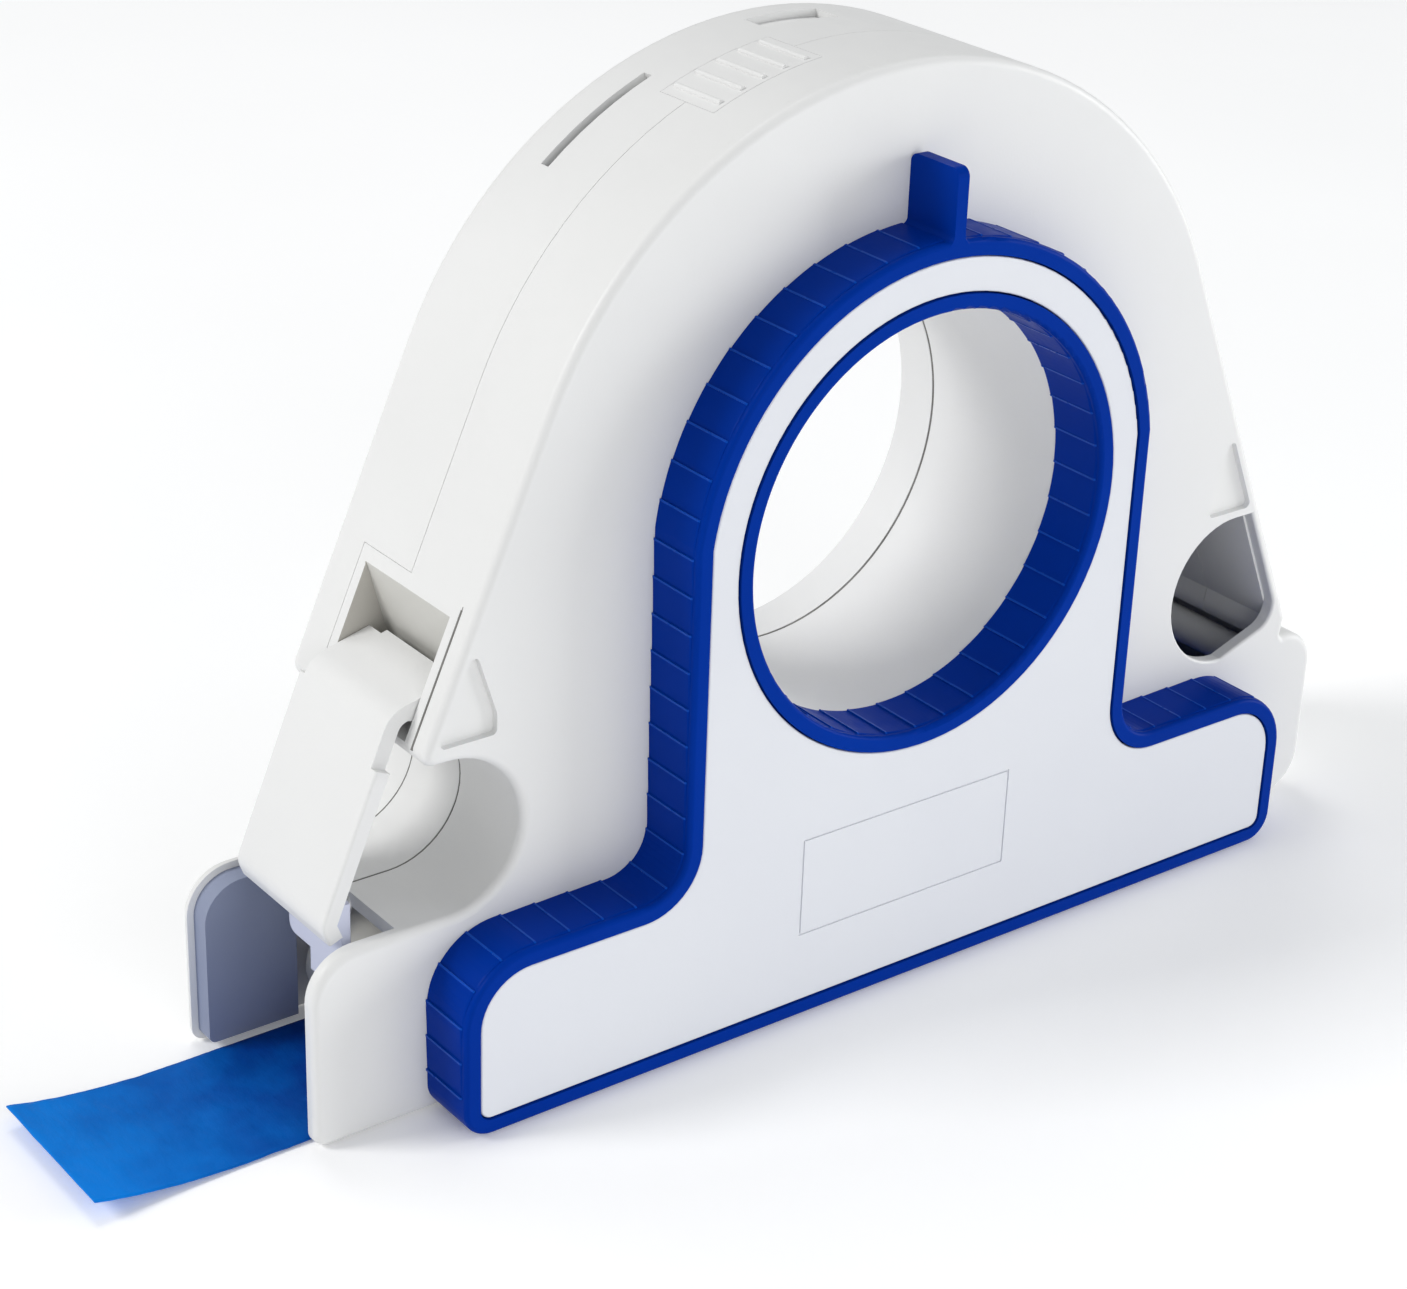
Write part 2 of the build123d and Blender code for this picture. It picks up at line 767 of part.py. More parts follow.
# Grip frame: a band round the grip, the ring of the hand hole, a back and a fin on the arch
grip_face = grip_outline(0)
plate_seat = grip_outline(grip_rim)
grip_pocket = grip_outline(grip_rim + plate_ledge)
plate_depth = plate_inset + plate_thickness
with BuildPart() as grip_frame:
    with BuildSketch(side_plane(near_y)):
        add(grip_face)
    extrude(amount=grip_depth)
    fillet(grip_frame.faces().sort_by(Axis.Y)[0].outer_wire().edges(), radius=grip_edge_fillet)
    with BuildSketch(side_plane(near_y)):
        fin_foot = axis_height + grip_arch_radius - grip_rim
        with Locations((tab_offset, fin_foot)):
            Rectangle(
                tab_thickness, tab_height + grip_rim, align=(Align.CENTER, Align.MIN)
            )
    extrude(amount=grip_depth)
    fin_top = grip_frame.edges().filter_by(Axis.X).group_by(Axis.Z)[-1]
    fillet(fin_top, radius=tab_corner)
    fin_roots = [
        edge
        for edge in grip_frame.edges().filter_by(Axis.Y)
        if abs(edge.center().X - tab_offset) < tab_thickness
        and edge.center().Z < axis_height + grip_arch_radius + tab_height / 2
    ]
    fillet(fin_roots, radius=tab_root)
    with BuildSketch(side_plane(grip_front_y + plate_depth)):
        add(plate_seat)
        with Locations((0, axis_height)):
            Circle(hand_hole_radius + ring_wall, mode=Mode.SUBTRACT)
    extrude(amount=plate_depth + overrun, mode=Mode.SUBTRACT)
    with BuildSketch(side_plane(near_y - grip_back)):
        add(grip_pocket)
        with Locations((0, axis_height)):
            Circle(hand_hole_radius + ring_wall + plate_ledge, mode=Mode.SUBTRACT)
    extrude(amount=grip_depth, mode=Mode.SUBTRACT)
    with BuildSketch(side_plane(near_y - grip_back)):
        with Locations(*grip_post_places()):
            Circle(grip_post_radius)
    extrude(amount=grip_depth - grip_back - plate_depth)
    with BuildSketch(side_plane(near_y + overrun)):
        with Locations((0, axis_height)):
            Circle(hand_hole_radius)
    extrude(amount=grip_depth + 2 * overrun, mode=Mode.SUBTRACT)
    ring_front = [
        edge
        for edge in grip_frame.faces().sort_by(Axis.Y)[:2].edges().filter_by(GeomType.CIRCLE)
        if abs(edge.radius - hand_hole_radius) < plate_gap
    ]
    fillet(ring_front, radius=ring_edge_fillet)
    with BuildSketch(side_plane(near_y)):
        with Locations(*grip_post_places()):
            Circle(screw_shank)
    extrude(amount=screw_length, mode=Mode.SUBTRACT)

# Face plate set into the grip frame, with a bare place for a label
plate_face = grip_outline(grip_rim + plate_gap)
plate_front_y = grip_front_y + plate_inset
with BuildPart() as grip_plate:
    with BuildSketch(side_plane(plate_front_y + plate_thickness)):
        add(plate_face)
        with Locations((0, axis_height)):
            Circle(hand_hole_radius + ring_wall + plate_gap, mode=Mode.SUBTRACT)
    extrude(amount=plate_thickness)
    fillet(grip_plate.faces().sort_by(Axis.Y)[0].edges(), radius=plate_edge_fillet)
    with BuildSketch(side_plane(plate_front_y + label_groove_depth)):
        with Locations((label_left, label_low)):
            Rectangle(
                label_right - label_left, label_high - label_low, align=(Align.MIN, Align.MIN)
            )
        with Locations((label_left + label_groove, label_low + label_groove)):
            Rectangle(
                label_right - label_left - 2 * label_groove,
                label_high - label_low - 2 * label_groove,
                align=(Align.MIN, Align.MIN),
                mode=Mode.SUBTRACT,
            )
    extrude(amount=label_groove_depth, mode=Mode.SUBTRACT)


def screw_group(places, seat_y, length):
    """Pan head screws along -Y, heads on the +Y side of the seat, one solid each."""
    with BuildPart(mode=Mode.PRIVATE) as group:
        with BuildSketch(side_plane(seat_y)):
            with Locations(*places):
                Circle(screw_shank)
        extrude(amount=length)
        with BuildSketch(side_plane(seat_y + screw_head_height)):
            with Locations(*places):
                Circle(screw_head)
        extrude(amount=screw_head_height)
        with BuildSketch(side_plane(seat_y + screw_head_height)):
            with Locations(*places):
                Rectangle(2 * screw_head - 4 * screw_recess, screw_recess)
                Rectangle(screw_recess, 2 * screw_head - 4 * screw_recess)
        extrude(amount=screw_recess_depth, mode=Mode.SUBTRACT)
    return group.part


# Screws that hold the grip, driven from inside the near shell
with BuildPart() as grip_screws:
    add(screw_group(grip_post_places(), near_inner_y, screw_length))


def carrier_plate(axles, posts):
    """Sketch of a plate that joins round pads at its axles and its screw posts."""
    pads = [(place, radius + carrier_margin) for place, radius in axles]
    pads += [(place, post_radius) for place in posts]
    for place, radius in pads:
        with Locations(place):
            Circle(radius)
    make_hull()


# Carriers: plates on the shell's posts that hold the far ends of the axles
front_posts = post_places()[:2]
rear_posts = post_places()[2:]
front_axles = [
    ((roller_x, roller_z), roller_axle_radius),
    ((guide_x, guide_z), guide_axle_radius),
]
rear_axles = [((rear_roller_x, rear_roller_z), rear_axle_radius)]
with BuildPart() as front_carrier:
    with BuildSketch(side_plane(carrier_far_y)):
        carrier_plate(front_axles, front_posts)
        for place, radius in front_axles:
            with Locations(place):
                Circle(radius, mode=Mode.SUBTRACT)
        with Locations(*front_posts):
            Circle(screw_shank, mode=Mode.SUBTRACT)
    extrude(amount=carrier_thickness)
with BuildPart() as rear_carrier:
    with BuildSketch(side_plane(carrier_far_y)):
        carrier_plate(rear_axles, rear_posts)
        for place, radius in rear_axles:
            with Locations(place):
                Circle(radius, mode=Mode.SUBTRACT)
        with Locations(*rear_posts):
            Circle(screw_shank, mode=Mode.SUBTRACT)
    extrude(amount=carrier_thickness)
with BuildPart() as carrier_screws:
    add(screw_group(post_places(), carrier_far_y, screw_length))


def axle(x, z, radius):
    """Plain steel axle from its blind socket in the near wall to past its carrier."""
    with BuildPart(mode=Mode.PRIVATE) as rod:
        with BuildSketch(side_plane(carrier_far_y + clip_thickness)):
            with Locations((x, z)):
                Circle(radius)
        extrude(amount=carrier_far_y + clip_thickness - socket_y)
    return rod.part


with BuildPart() as roller_axle:
    add(axle(roller_x, roller_z, roller_axle_radius))
with BuildPart() as guide_axle:
    add(axle(guide_x, guide_z, guide_axle_radius))
with BuildPart() as rear_axle:
    add(axle(rear_roller_x, rear_roller_z, rear_axle_radius))

# Retaining clips on the far ends of the three axles, open to one side
with BuildPart() as axle_clips:
    for place, radius in front_axles + rear_axles:
        with BuildSketch(side_plane(carrier_far_y + clip_thickness)):
            with Locations(place):
                Circle(radius + clip_width)
                Circle(radius, mode=Mode.SUBTRACT)
            with Locations((place[0], place[1] + radius + clip_width)):
                Rectangle(radius, 2 * radius + clip_width, mode=Mode.SUBTRACT)
        extrude(amount=clip_thickness)


def tube(x, z, outer, inner, far, length):
    """Ring section along -Y from its far end."""
    with BuildPart(mode=Mode.PRIVATE) as ring:
        with BuildSketch(side_plane(far)):
            with Locations((x, z)):
                Circle(outer)
                Circle(inner, mode=Mode.SUBTRACT)
        extrude(amount=length)
    return ring.part


roller_far_y = tape_far_y + roller_overhang
roller_length = tape_width + 2 * roller_overhang
with BuildPart() as roller_core:
    add(tube(
        roller_x, roller_z, roller_radius - roller_sleeve_wall,
        roller_axle_radius + running_fit, roller_far_y, roller_length,
    ))
with BuildPart() as roller_sleeve:
    add(tube(
        roller_x, roller_z, roller_radius,
        roller_radius - roller_sleeve_wall, roller_far_y, roller_length,
    ))
with BuildPart() as guide_roller:
    add(tube(
        guide_x, guide_z, guide_radius,
        guide_axle_radius + running_fit, roller_far_y, roller_length,
    ))
with BuildPart() as rear_roller:
    add(tube(
        rear_roller_x, rear_roller_z, rear_roller_radius,
        rear_axle_radius + running_fit, rear_roller_far_y, rear_roller_width,
    ))


def tangent_normal(start, start_reach, end, end_reach, turn):
    """Angle from two centres to the straight run of tape between them, which touches both."""
    run_x = end[0] - start[0]
    run_z = end[1] - start[1]
    reach = start_reach - end_reach
    return atan2(run_z, run_x) + turn * acos(reach / hypot(run_x, run_z))


def on_circle(centre, radius, angle):
    """Point of a circle at an angle in radians."""
    return centre[0] + radius * cos(angle), centre[1] + radius * sin(angle)


# Tape from the roll over the guide roller, round the application roller and out at the front
hub_centre = (0, axis_height)
guide_centre = (guide_x, guide_z)
roller_centre = (roller_x, roller_z)
half_strip = strip_thickness / 2
roll_reach = roll_radius + strip_clearance + half_strip
guide_reach = guide_radius + strip_clearance + half_strip
press_reach = roller_radius + strip_clearance + half_strip
leave_angle = tangent_normal(hub_centre, roll_reach, guide_centre, -guide_reach, -1)
feed_angle = tangent_normal(guide_centre, guide_reach, roller_centre, press_reach, 1)
guide_angle = leave_angle + pi
strip_run = strip_lift_start - strip_end_x
strip_bend = (strip_run**2 + strip_lift**2) / (2 * strip_lift)
strip_rise = atan2(strip_run, strip_bend - strip_lift)


def strip_side(inward):
    """One face of the tape, this far from its middle towards the rollers; returns its two ends."""
    start = on_circle(hub_centre, roll_reach + inward, leave_angle)
    guide = [
        on_circle(guide_centre, guide_reach - inward, guide_angle),
        on_circle(guide_centre, guide_reach - inward, (guide_angle + feed_angle) / 2),
        on_circle(guide_centre, guide_reach - inward, feed_angle),
    ]
    press = [
        on_circle(roller_centre, press_reach - inward, feed_angle),
        on_circle(roller_centre, press_reach - inward, (feed_angle - pi / 2) / 2),
        on_circle(roller_centre, press_reach - inward, -pi / 2),
    ]
    lift_centre = (strip_lift_start, half_strip + strip_bend)
    lift = [
        on_circle(lift_centre, strip_bend - inward, -pi / 2),
        on_circle(lift_centre, strip_bend - inward, -pi / 2 - strip_rise / 2),
        on_circle(lift_centre, strip_bend - inward, -pi / 2 - strip_rise),
    ]
    Line(start, guide[0])
    ThreePointArc(*guide)
    Line(guide[-1], press[0])
    ThreePointArc(*press)
    Line(press[-1], lift[0])
    ThreePointArc(*lift)
    return start, lift[-1]


with BuildPart() as tape_strip:
    with BuildSketch(side_plane(tape_far_y)):
        with BuildLine():
            backing_start, backing_end = strip_side(half_strip)
            glue_start, glue_end = strip_side(-half_strip)
            Line(backing_start, glue_start)
            Line(backing_end, glue_end)
        make_face()
    extrude(amount=tape_width)

# Block in the front flank that the cutter arm hinges in
with BuildPart() as arm_bracket:
    with BuildSketch(side_plane(pocket_far_y + pocket_side_wall)):
        with BuildLine():
            Polyline(*bracket_profile(0), close=True)
        make_face()
    extrude(amount=pocket_far_y - pocket_near_y + 2 * pocket_side_wall)
    with BuildSketch(side_plane(pocket_far_y)):
        with BuildLine():
            Polyline(
                (-flank_x(pocket_low) - overrun, pocket_low - overrun),
                (-flank_x(roof_z) - overrun, roof_z),
                (-flank_x(roof_z), roof_z),
                (pocket_back_x(pocket_low - overrun), pocket_low - overrun),
                close=True,
            )
        make_face()
    extrude(amount=pocket_far_y - pocket_near_y, mode=Mode.SUBTRACT)
    with BuildSketch(side_plane(pocket_far_y + pocket_side_wall)):
        with Locations((pin_x, pin_z)):
            Circle(pin_radius)
    extrude(amount=pocket_far_y - pocket_near_y + 2 * pocket_side_wall, mode=Mode.SUBTRACT)

with BuildPart() as cutter_pin:
    with BuildSketch(side_plane(pocket_far_y + pocket_side_wall)):
        with Locations((pin_x, pin_z)):
            Circle(pin_radius)
    extrude(amount=pocket_far_y - pocket_near_y + 2 * pocket_side_wall)

# Directions along the arm's long face and along its top, and square to each, into the housing
arm_length = hypot(arm_knee_x - arm_bend_x, arm_knee_z - arm_bend_z)
arm_down = ((arm_knee_x - arm_bend_x) / arm_length, (arm_knee_z - arm_bend_z) / arm_length)
arm_in = (-arm_down[1], arm_down[0])
toe_length = hypot(arm_foot_x - arm_knee_x, arm_foot_z - arm_knee_z)
toe_down = ((arm_foot_x - arm_knee_x) / toe_length, (arm_foot_z - arm_knee_z) / toe_length)
top_length = hypot(arm_top_x - arm_bend_x, arm_top_z - arm_bend_z)
top_back = ((arm_top_x - arm_bend_x) / top_length, (arm_top_z - arm_bend_z) / top_length)
bend_half = (atan2(top_back[0], top_back[1]) - atan2(-arm_down[0], -arm_down[1])) / 2
knee_half = (atan2(toe_down[1], toe_down[0]) - atan2(arm_down[1], arm_down[0])) / 2


def on_arm(down, inward):
    """Point at a distance down the arm from its bend and inward from its outer face."""
    return (
        arm_bend_x + down * arm_down[0] + inward * arm_in[0],
        arm_bend_z + down * arm_down[1] + inward * arm_in[1],
    )


def on_top(back, inward):
    """Point at a distance along the arm's top from its bend and inward from its outer face."""
    return (
        arm_bend_x + back * top_back[0] + inward * top_back[1],
        arm_bend_z + back * top_back[1] - inward * top_back[0],
    )


# Corners of the arm's inner side: in the crook of its bend, behind its knee and at its toe
arm_crook = on_arm(arm_thickness * tan(bend_half), arm_thickness)
knee_inner = on_arm(arm_length - arm_thickness * tan(knee_half), arm_thickness)
toe_inner = (
    arm_foot_x - arm_thickness * toe_down[1],
    arm_foot_z + arm_thickness * toe_down[0],
)


def inner_face_x(z):
    """Inside of the arm's long plate at height z."""
    return knee_inner[0] - (z - knee_inner[1]) * arm_down[0] / -arm_down[1]


guard_back_x = toe_inner[0] + guard_thickness
blade_back_x = guard_back_x + blade_thickness
guard_near_y = near_y + guard_near_inset
guard_far_y = far_y - guard_far_inset
screw_middle_y = (guard_near_y + guard_far_y) / 2


def blade_screw_holes(radius, x_from, x_to):
    """Solid cylinders on the two screw axes, between two distances along X."""
    with BuildPart(mode=Mode.PRIVATE) as holes:
        with BuildSketch(Plane(
            origin=(x_from, screw_middle_y, blade_screw_z), x_dir=(0, 1, 0), z_dir=(1, 0, 0)
        )):
            with GridLocations(blade_screw_spread, blade_screw_spread, 2, 1):
                Circle(radius)
        extrude(amount=x_to - x_from)
    return holes.part


# Cutter arm: a bent plate with a curled toe and two hinge barrels under its top
arm_top_near_y = pocket_near_y + arm_side_gap
arm_top_far_y = pocket_far_y - arm_side_gap
coil_radius = pin_radius + spring_gap + spring_wire / 2
spring_far_y = spring_near_y + spring_turns * spring_pitch + spring_wire
screw_tip_x = knee_inner[0] - blade_screw_bite
with BuildPart() as cutter_arm:
    with BuildSketch(side_plane(arm_far_y)) as long_plate:
        with BuildLine():
            Polyline(
                on_arm(arm_shoulder, 0),
                (arm_knee_x, arm_knee_z),
                (arm_foot_x, arm_foot_z),
                toe_inner,
                knee_inner,
                on_arm(arm_shoulder, arm_thickness),
                close=True,
            )
        make_face()
        fillet(corner_at(long_plate, (arm_knee_x, arm_knee_z)), radius=arm_knee_radius)
    extrude(amount=arm_far_y - arm_near_y)
    front_faces = cutter_arm.faces().filter_by(lambda face: face.normal_at().X < -cos(pi / 3))
    side_edges = [
        edge
        for edge in front_faces.edges()
        if min(abs(edge.center().Y - arm_near_y), abs(edge.center().Y - arm_far_y)) < running_fit
    ]
    fillet(side_edges + [front_faces.edges().sort_by(Axis.Z)[0]], radius=arm_edge_fillet)
    with BuildSketch(side_plane(arm_top_near_y)):
        with BuildLine():
            Polyline(
                on_arm(0, -overrun),
                on_arm(arm_neck, -overrun),
                on_arm(arm_neck, arm_thickness + overrun),
                on_arm(0, arm_thickness + overrun),
                close=True,
            )
        make_face()
    extrude(amount=arm_top_near_y - arm_near_y + overrun, mode=Mode.SUBTRACT)
    with BuildSketch(side_plane(arm_top_far_y)) as bent_plate:
        with BuildLine():
            Polyline(
                on_arm(0, 0),
                (arm_top_x, arm_top_z),
                on_top(top_length, arm_cap_thickness),
                on_top(arm_cap_start, arm_cap_thickness),
                on_top(arm_cap_start - arm_cap_slope, arm_thickness),
                arm_crook,
                on_arm(arm_neck, arm_thickness),
                on_arm(arm_neck, 0),
                close=True,
            )
        make_face()
        fillet(corner_at(bent_plate, on_arm(0, 0)), radius=arm_bend_radius)
        fillet(corner_at(bent_plate, arm_crook), radius=arm_crook_radius)
    extrude(amount=arm_top_far_y - arm_top_near_y)
    for near, far in (
        (arm_top_near_y, spring_near_y - spring_gap - spring_wire / 2),
        (spring_far_y + spring_gap, arm_top_far_y),
    ):
        with BuildSketch(side_plane(far)):
            with BuildLine():
                Polyline(
                    on_top(arm_root, arm_thickness / 2),
                    on_top(top_length - arm_cap_thickness / 2, arm_cap_thickness / 2),
                    (pin_x + boss_radius, pin_z),
                    (pin_x, pin_z - boss_radius),
                    on_top(arm_root, arm_thickness),
                    close=True,
                )
            make_face()
            with Locations((pin_x, pin_z)):
                Circle(boss_radius)
                Circle(pin_radius + running_fit, mode=Mode.SUBTRACT)
        extrude(amount=far - near)
    with BuildSketch(side_plane(arm_top_far_y + overrun)):
        with BuildLine():
            Polyline(
                on_top(top_length - arm_corner_cut, -overrun),
                on_top(top_length + overrun, -overrun),
                on_top(top_length + overrun, arm_corner_depth),
                on_top(top_length - arm_corner_cut, arm_corner_depth),
                close=True,
            )
        make_face()
    extrude(amount=arm_corner_width + overrun, mode=Mode.SUBTRACT)
    add(blade_screw_holes(blade_screw_shank, screw_tip_x, guard_back_x), mode=Mode.SUBTRACT)


def turn_points():
    """Ends and directions of the quarter turns of the cutter spring's coil."""
    stations = []
    for quarter in range(int(4 * spring_turns) + 1):
        angle = quarter * pi / 2
        y = spring_near_y + spring_pitch * quarter / 4
        point = Vector(pin_x + coil_radius * cos(angle), y, pin_z + coil_radius * sin(angle))
        rise = spring_pitch / (2 * pi)
        heading = Vector(-coil_radius * sin(angle), rise, coil_radius * cos(angle)).normalized()
        stations.append((point, heading))
    return stations


def biarc(start, start_heading, end, end_heading):
    """Two tangent arcs in space from one point and heading to another."""
    chord = end - start
    both = start_heading + end_heading
    spread = 2 * (1 - start_heading.dot(end_heading))
    along = chord.dot(both)
    reach = (sqrt(along**2 + spread * chord.dot(chord)) - along) / spread
    middle = (start + end + (start_heading - end_heading) * reach) * 0.5
    first = TangentArc(start, middle, tangent=start_heading)
    TangentArc(middle, end, tangent=first % 1)


# Torsion spring on the cutter's pin, between the arm's two barrels
coil = turn_points()
coil_start, start_heading = coil[0]
coil_end, end_heading = coil[-1]
with BuildPart() as cutter_spring:
    with BuildLine() as wire:
        Line(coil_start - start_heading * spring_leg, coil_start)
        for (point, heading), (next_point, next_heading) in zip(coil, coil[1:]):
            biarc(point, heading, next_point, next_heading)
        Line(coil_end, coil_end + end_heading * spring_leg)
    route = wire.wires()[0]
    with BuildSketch(Plane(origin=route @ 0, z_dir=route % 0)):
        Circle(spring_wire / 2)
    sweep(path=route)
samples = [route @ (index / spring_samples) for index in range(spring_samples + 1)]
least_gap = min(
    (near_sample - far_sample).length
    for index, near_sample in enumerate(samples)
    for far_sample in samples[index + spring_skip:]
)
print("spring: least gap between turns", round(least_gap - spring_wire, 2))

# Guard between the arm's toe and the blade: it hides the teeth and ends in a stop block
with BuildPart() as blade_guard:
    with BuildSketch(side_plane(guard_far_y)):
        with BuildLine():
            Polyline(
                (inner_face_x(guard_top_z), guard_top_z),
                knee_inner,
                toe_inner,
                (toe_inner[0], guard_low_z),
                (guard_back_x, guard_low_z),
                (guard_back_x, guard_top_z),
                close=True,
            )
        make_face()
    extrude(amount=guard_far_y - guard_near_y)
    far_corner = [
        edge
        for edge in blade_guard.edges().filter_by(Axis.X).group_by(Axis.Z)[0]
        if edge.center().Y > screw_middle_y
    ]
    fillet(far_corner, radius=guard_corner)
    with Locations((toe_inner[0], near_y + stop_near_inset, stop_low_z)):
        Box(
            guard_thickness,
            far_y - stop_far_inset - near_y - stop_near_inset,
            guard_low_z - stop_low_z + guard_thickness,
            align=(Align.MIN, Align.MIN, Align.MIN),
        )
    add(blade_screw_holes(blade_screw_shank, screw_tip_x, guard_back_x), mode=Mode.SUBTRACT)

# Toothed steel blade behind the guard
blade_near_y = guard_near_y + blade_side_gap
blade_far_y = guard_far_y - blade_side_gap
with BuildPart() as cutter_blade:
    with Locations((guard_back_x, blade_near_y, blade_low_z)):
        Box(
            blade_thickness,
            blade_far_y - blade_near_y,
            blade_top_z - blade_low_z,
            align=(Align.MIN, Align.MIN, Align.MIN),
        )
    tooth_count = int((blade_far_y - blade_near_y) / tooth_pitch)
    with BuildSketch(Plane(
        origin=(guard_back_x - overrun, blade_near_y, blade_low_z), x_dir=(0, 1, 0), z_dir=(1, 0, 0)
    )):
        with BuildLine():
            edge = [(-overrun, -overrun), (0, 0)]
            for tooth in range(tooth_count):
                tooth_start = tooth * tooth_pitch
                edge.append((tooth_start + tooth_pitch / 2, tooth_height))
                edge.append((tooth_start + tooth_pitch, 0))
            edge.append((tooth_count * tooth_pitch + overrun, -overrun))
            Polyline(*edge, close=True)
        make_face()
    extrude(amount=blade_thickness + 2 * overrun, mode=Mode.SUBTRACT)
    add(blade_screw_holes(blade_screw_shank, guard_back_x, blade_back_x), mode=Mode.SUBTRACT)
with BuildPart() as blade_screws:
    add(blade_screw_holes(blade_screw_shank, screw_tip_x, blade_back_x))
    add(blade_screw_holes(
        blade_screw_head, blade_back_x, blade_back_x + blade_screw_head_height
    ))

# Set all labels and write one file for each piece
named_parts = {
    "near_shell": near_shell,
    "near_rim": near_rim,
    "near_floor": near_floor,
    "far_cover": far_cover,
    "far_rim": far_rim,
    "far_floor": far_floor,
    "tape_guide": tape_guide,
    "release_latch": release_latch,
    "hub_tube": hub_tube,
    "drag_washer": drag_washer,
    "roll_core": roll_core,
    "tape_roll": tape_roll,
    "tape_strip": tape_strip,
    "grip_frame": grip_frame,
    "grip_plate": grip_plate,
    "grip_screws": grip_screws,
    "front_carrier": front_carrier,
    "rear_carrier": rear_carrier,
    "carrier_screws": carrier_screws,
    "roller_axle": roller_axle,
    "guide_axle": guide_axle,
    "rear_axle": rear_axle,
    "axle_clips": axle_clips,
    "roller_core": roller_core,
    "roller_sleeve": roller_sleeve,
    "guide_roller": guide_roller,
    "rear_roller": rear_roller,
    "arm_bracket": arm_bracket,
    "cutter_pin": cutter_pin,
    "cutter_arm": cutter_arm,
    "cutter_blade": cutter_blade,
    "blade_guard": blade_guard,
    "blade_screws": blade_screws,
    "cutter_spring": cutter_spring,
}
os.makedirs("parts", exist_ok=True)
for part_name, builder in named_parts.items():
    builder.part.label = part_name
    export_step(builder.part, f"parts/{part_name}.step")
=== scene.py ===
from bisect import bisect_left
from math import acos, atan2, cos, degrees, hypot, pi, radians, sin, sqrt

import bmesh
import bpy
from mathutils import Matrix, Vector, noise


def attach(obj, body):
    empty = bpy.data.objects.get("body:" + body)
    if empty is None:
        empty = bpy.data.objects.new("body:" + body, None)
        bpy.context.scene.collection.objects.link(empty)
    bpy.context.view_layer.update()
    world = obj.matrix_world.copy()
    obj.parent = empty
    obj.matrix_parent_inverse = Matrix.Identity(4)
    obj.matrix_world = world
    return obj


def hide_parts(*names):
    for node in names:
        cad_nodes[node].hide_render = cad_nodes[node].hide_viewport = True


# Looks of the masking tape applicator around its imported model. The frame is the model's own:
# +Z up from the base, -X to the front where the tape comes out, -Y the near side with the grip.
# Sizes are in millimetres and turned into metres by MM where an object is made.

MM = 0.001

# Sizes that repeat the model's
AXIS_HEIGHT = 83.0
NEAR_Y = -20.0
GRIP_FRONT_Y = -31.2
GRIP_ARCH_RADIUS = 47.4
GRIP_STEM_HALF = 46.9
GRIP_FLANGE_HEIGHT = 31.0
GRIP_HALF_LENGTH = 88.3
GRIP_FLANGE_CORNER = 12.0
GRIP_ROOT_FILLET = 8.0
HAND_HOLE_RADIUS = 36.0
FIN_LEFT_X = -0.1
FIN_RIGHT_X = 2.1

# Treads of the grip, which stop short of the fin and of the band's front edge
TREAD_PITCH = 6.3
TREAD_RISE = 0.22
TREAD_LOW_SHARE = 0.12
TREAD_STEPS = 6
TREAD_LINE_RISE = 0.3
TREAD_LINE_WIDTH = 0.36
TREAD_SINK = 0.15
TREAD_SETBACK = 1.15
TREAD_OVERLAP = 0.05
TREAD_FRONT_Y = GRIP_FRONT_Y + TREAD_SETBACK
TREAD_BACK_Y = NEAR_Y - TREAD_OVERLAP
TREAD_EASE = 0.3
TREAD_EASE_SHARE = 0.35
TREAD_LOW = 6.0
TREAD_SHORTEST = 1.0
FIN_ROOT = 1.0
FIN_CLEARANCE = 0.3
RING_TREADS = 36

# Tape: its route round the rollers, each with its x, z and radius, then its sheet and crinkles
ROLL_RADIUS = 62.0
TAPE_NEAR_Y = -16.8
TAPE_FAR_Y = 13.2
STRIP_THICKNESS = 0.4
STRIP_CLEARANCE = 0.3
ROLLER = (-81.4551, 9.7, 9.0)
GUIDE = (-68.4551, 29.0, 5.0)
STRIP_LIFT_X = -117.9551
STRIP_END_X = -143.9551
STRIP_LIFT = 3.0
STRIP_FLAT_STEP = 0.7
SHEET_HALF = 0.12
SHEET_COLUMNS = 42
CRINKLE_START = 22.0
CRINKLE_EASE = 12.0

# Crinkles, coarse and fine: waves per millimetre along and across, layer of the noise, and height
CRINKLES = (
    (0.28, 0.16, 3.1, 0.11),
    (0.9, 0.4, 7.7, 0.05),
)

# Where the tape's painted shade is at its darkest, in the shade between the cheeks
TAPE_PAINTED_SHADE_X = -97.0

# Joints that show as dark lines. The scoop has its x, z and radius, and arcs are in degrees.
SEAM_RISE = 0.04
SEAM_DEPTH = 0.2
SEAM_WIDTH = 0.25
BORE_SEAM_WIDTH = 0.35
BORE_SEAM_END = 179.9
BLOCK_SEAM_HALF = 0.2
HUB_END_Y = 11.5
PARTING_Y = -2.0
SCOOP = (-84.029, 46.79, 13.4)
SCOOP_FRONT_X = -92.0
SCOOP_SEAM_END = 84
BLOCK_SEAM_ARC = (-70, 92)
BLOCK_FAR_Y = 11.6
BLOCK_NEAR_Y = -16.42
BLOCK_LOW = (-88.41, 62.3)
BLOCK_HIGH = (-79.39, 83.03)

# Sheets of painted shade on the walls of the hinge pocket
POCKET_ROOF = (-80.124, 81.3)
POCKET_LOW = (-75.15, 63.8)
POCKET_FRONT = (-87.7, 63.8)
POCKET_Y = (-14.3, 9.6)

# Relief of the surfaces, softening of sharp edges and welding of points, in metres
GRAIN = 0.000012
FINE_GRAIN = 0.00001
SOFT_EDGE = 0.0003
STEEL_EDGE = 0.00015
WELD_REACH = 0.000001

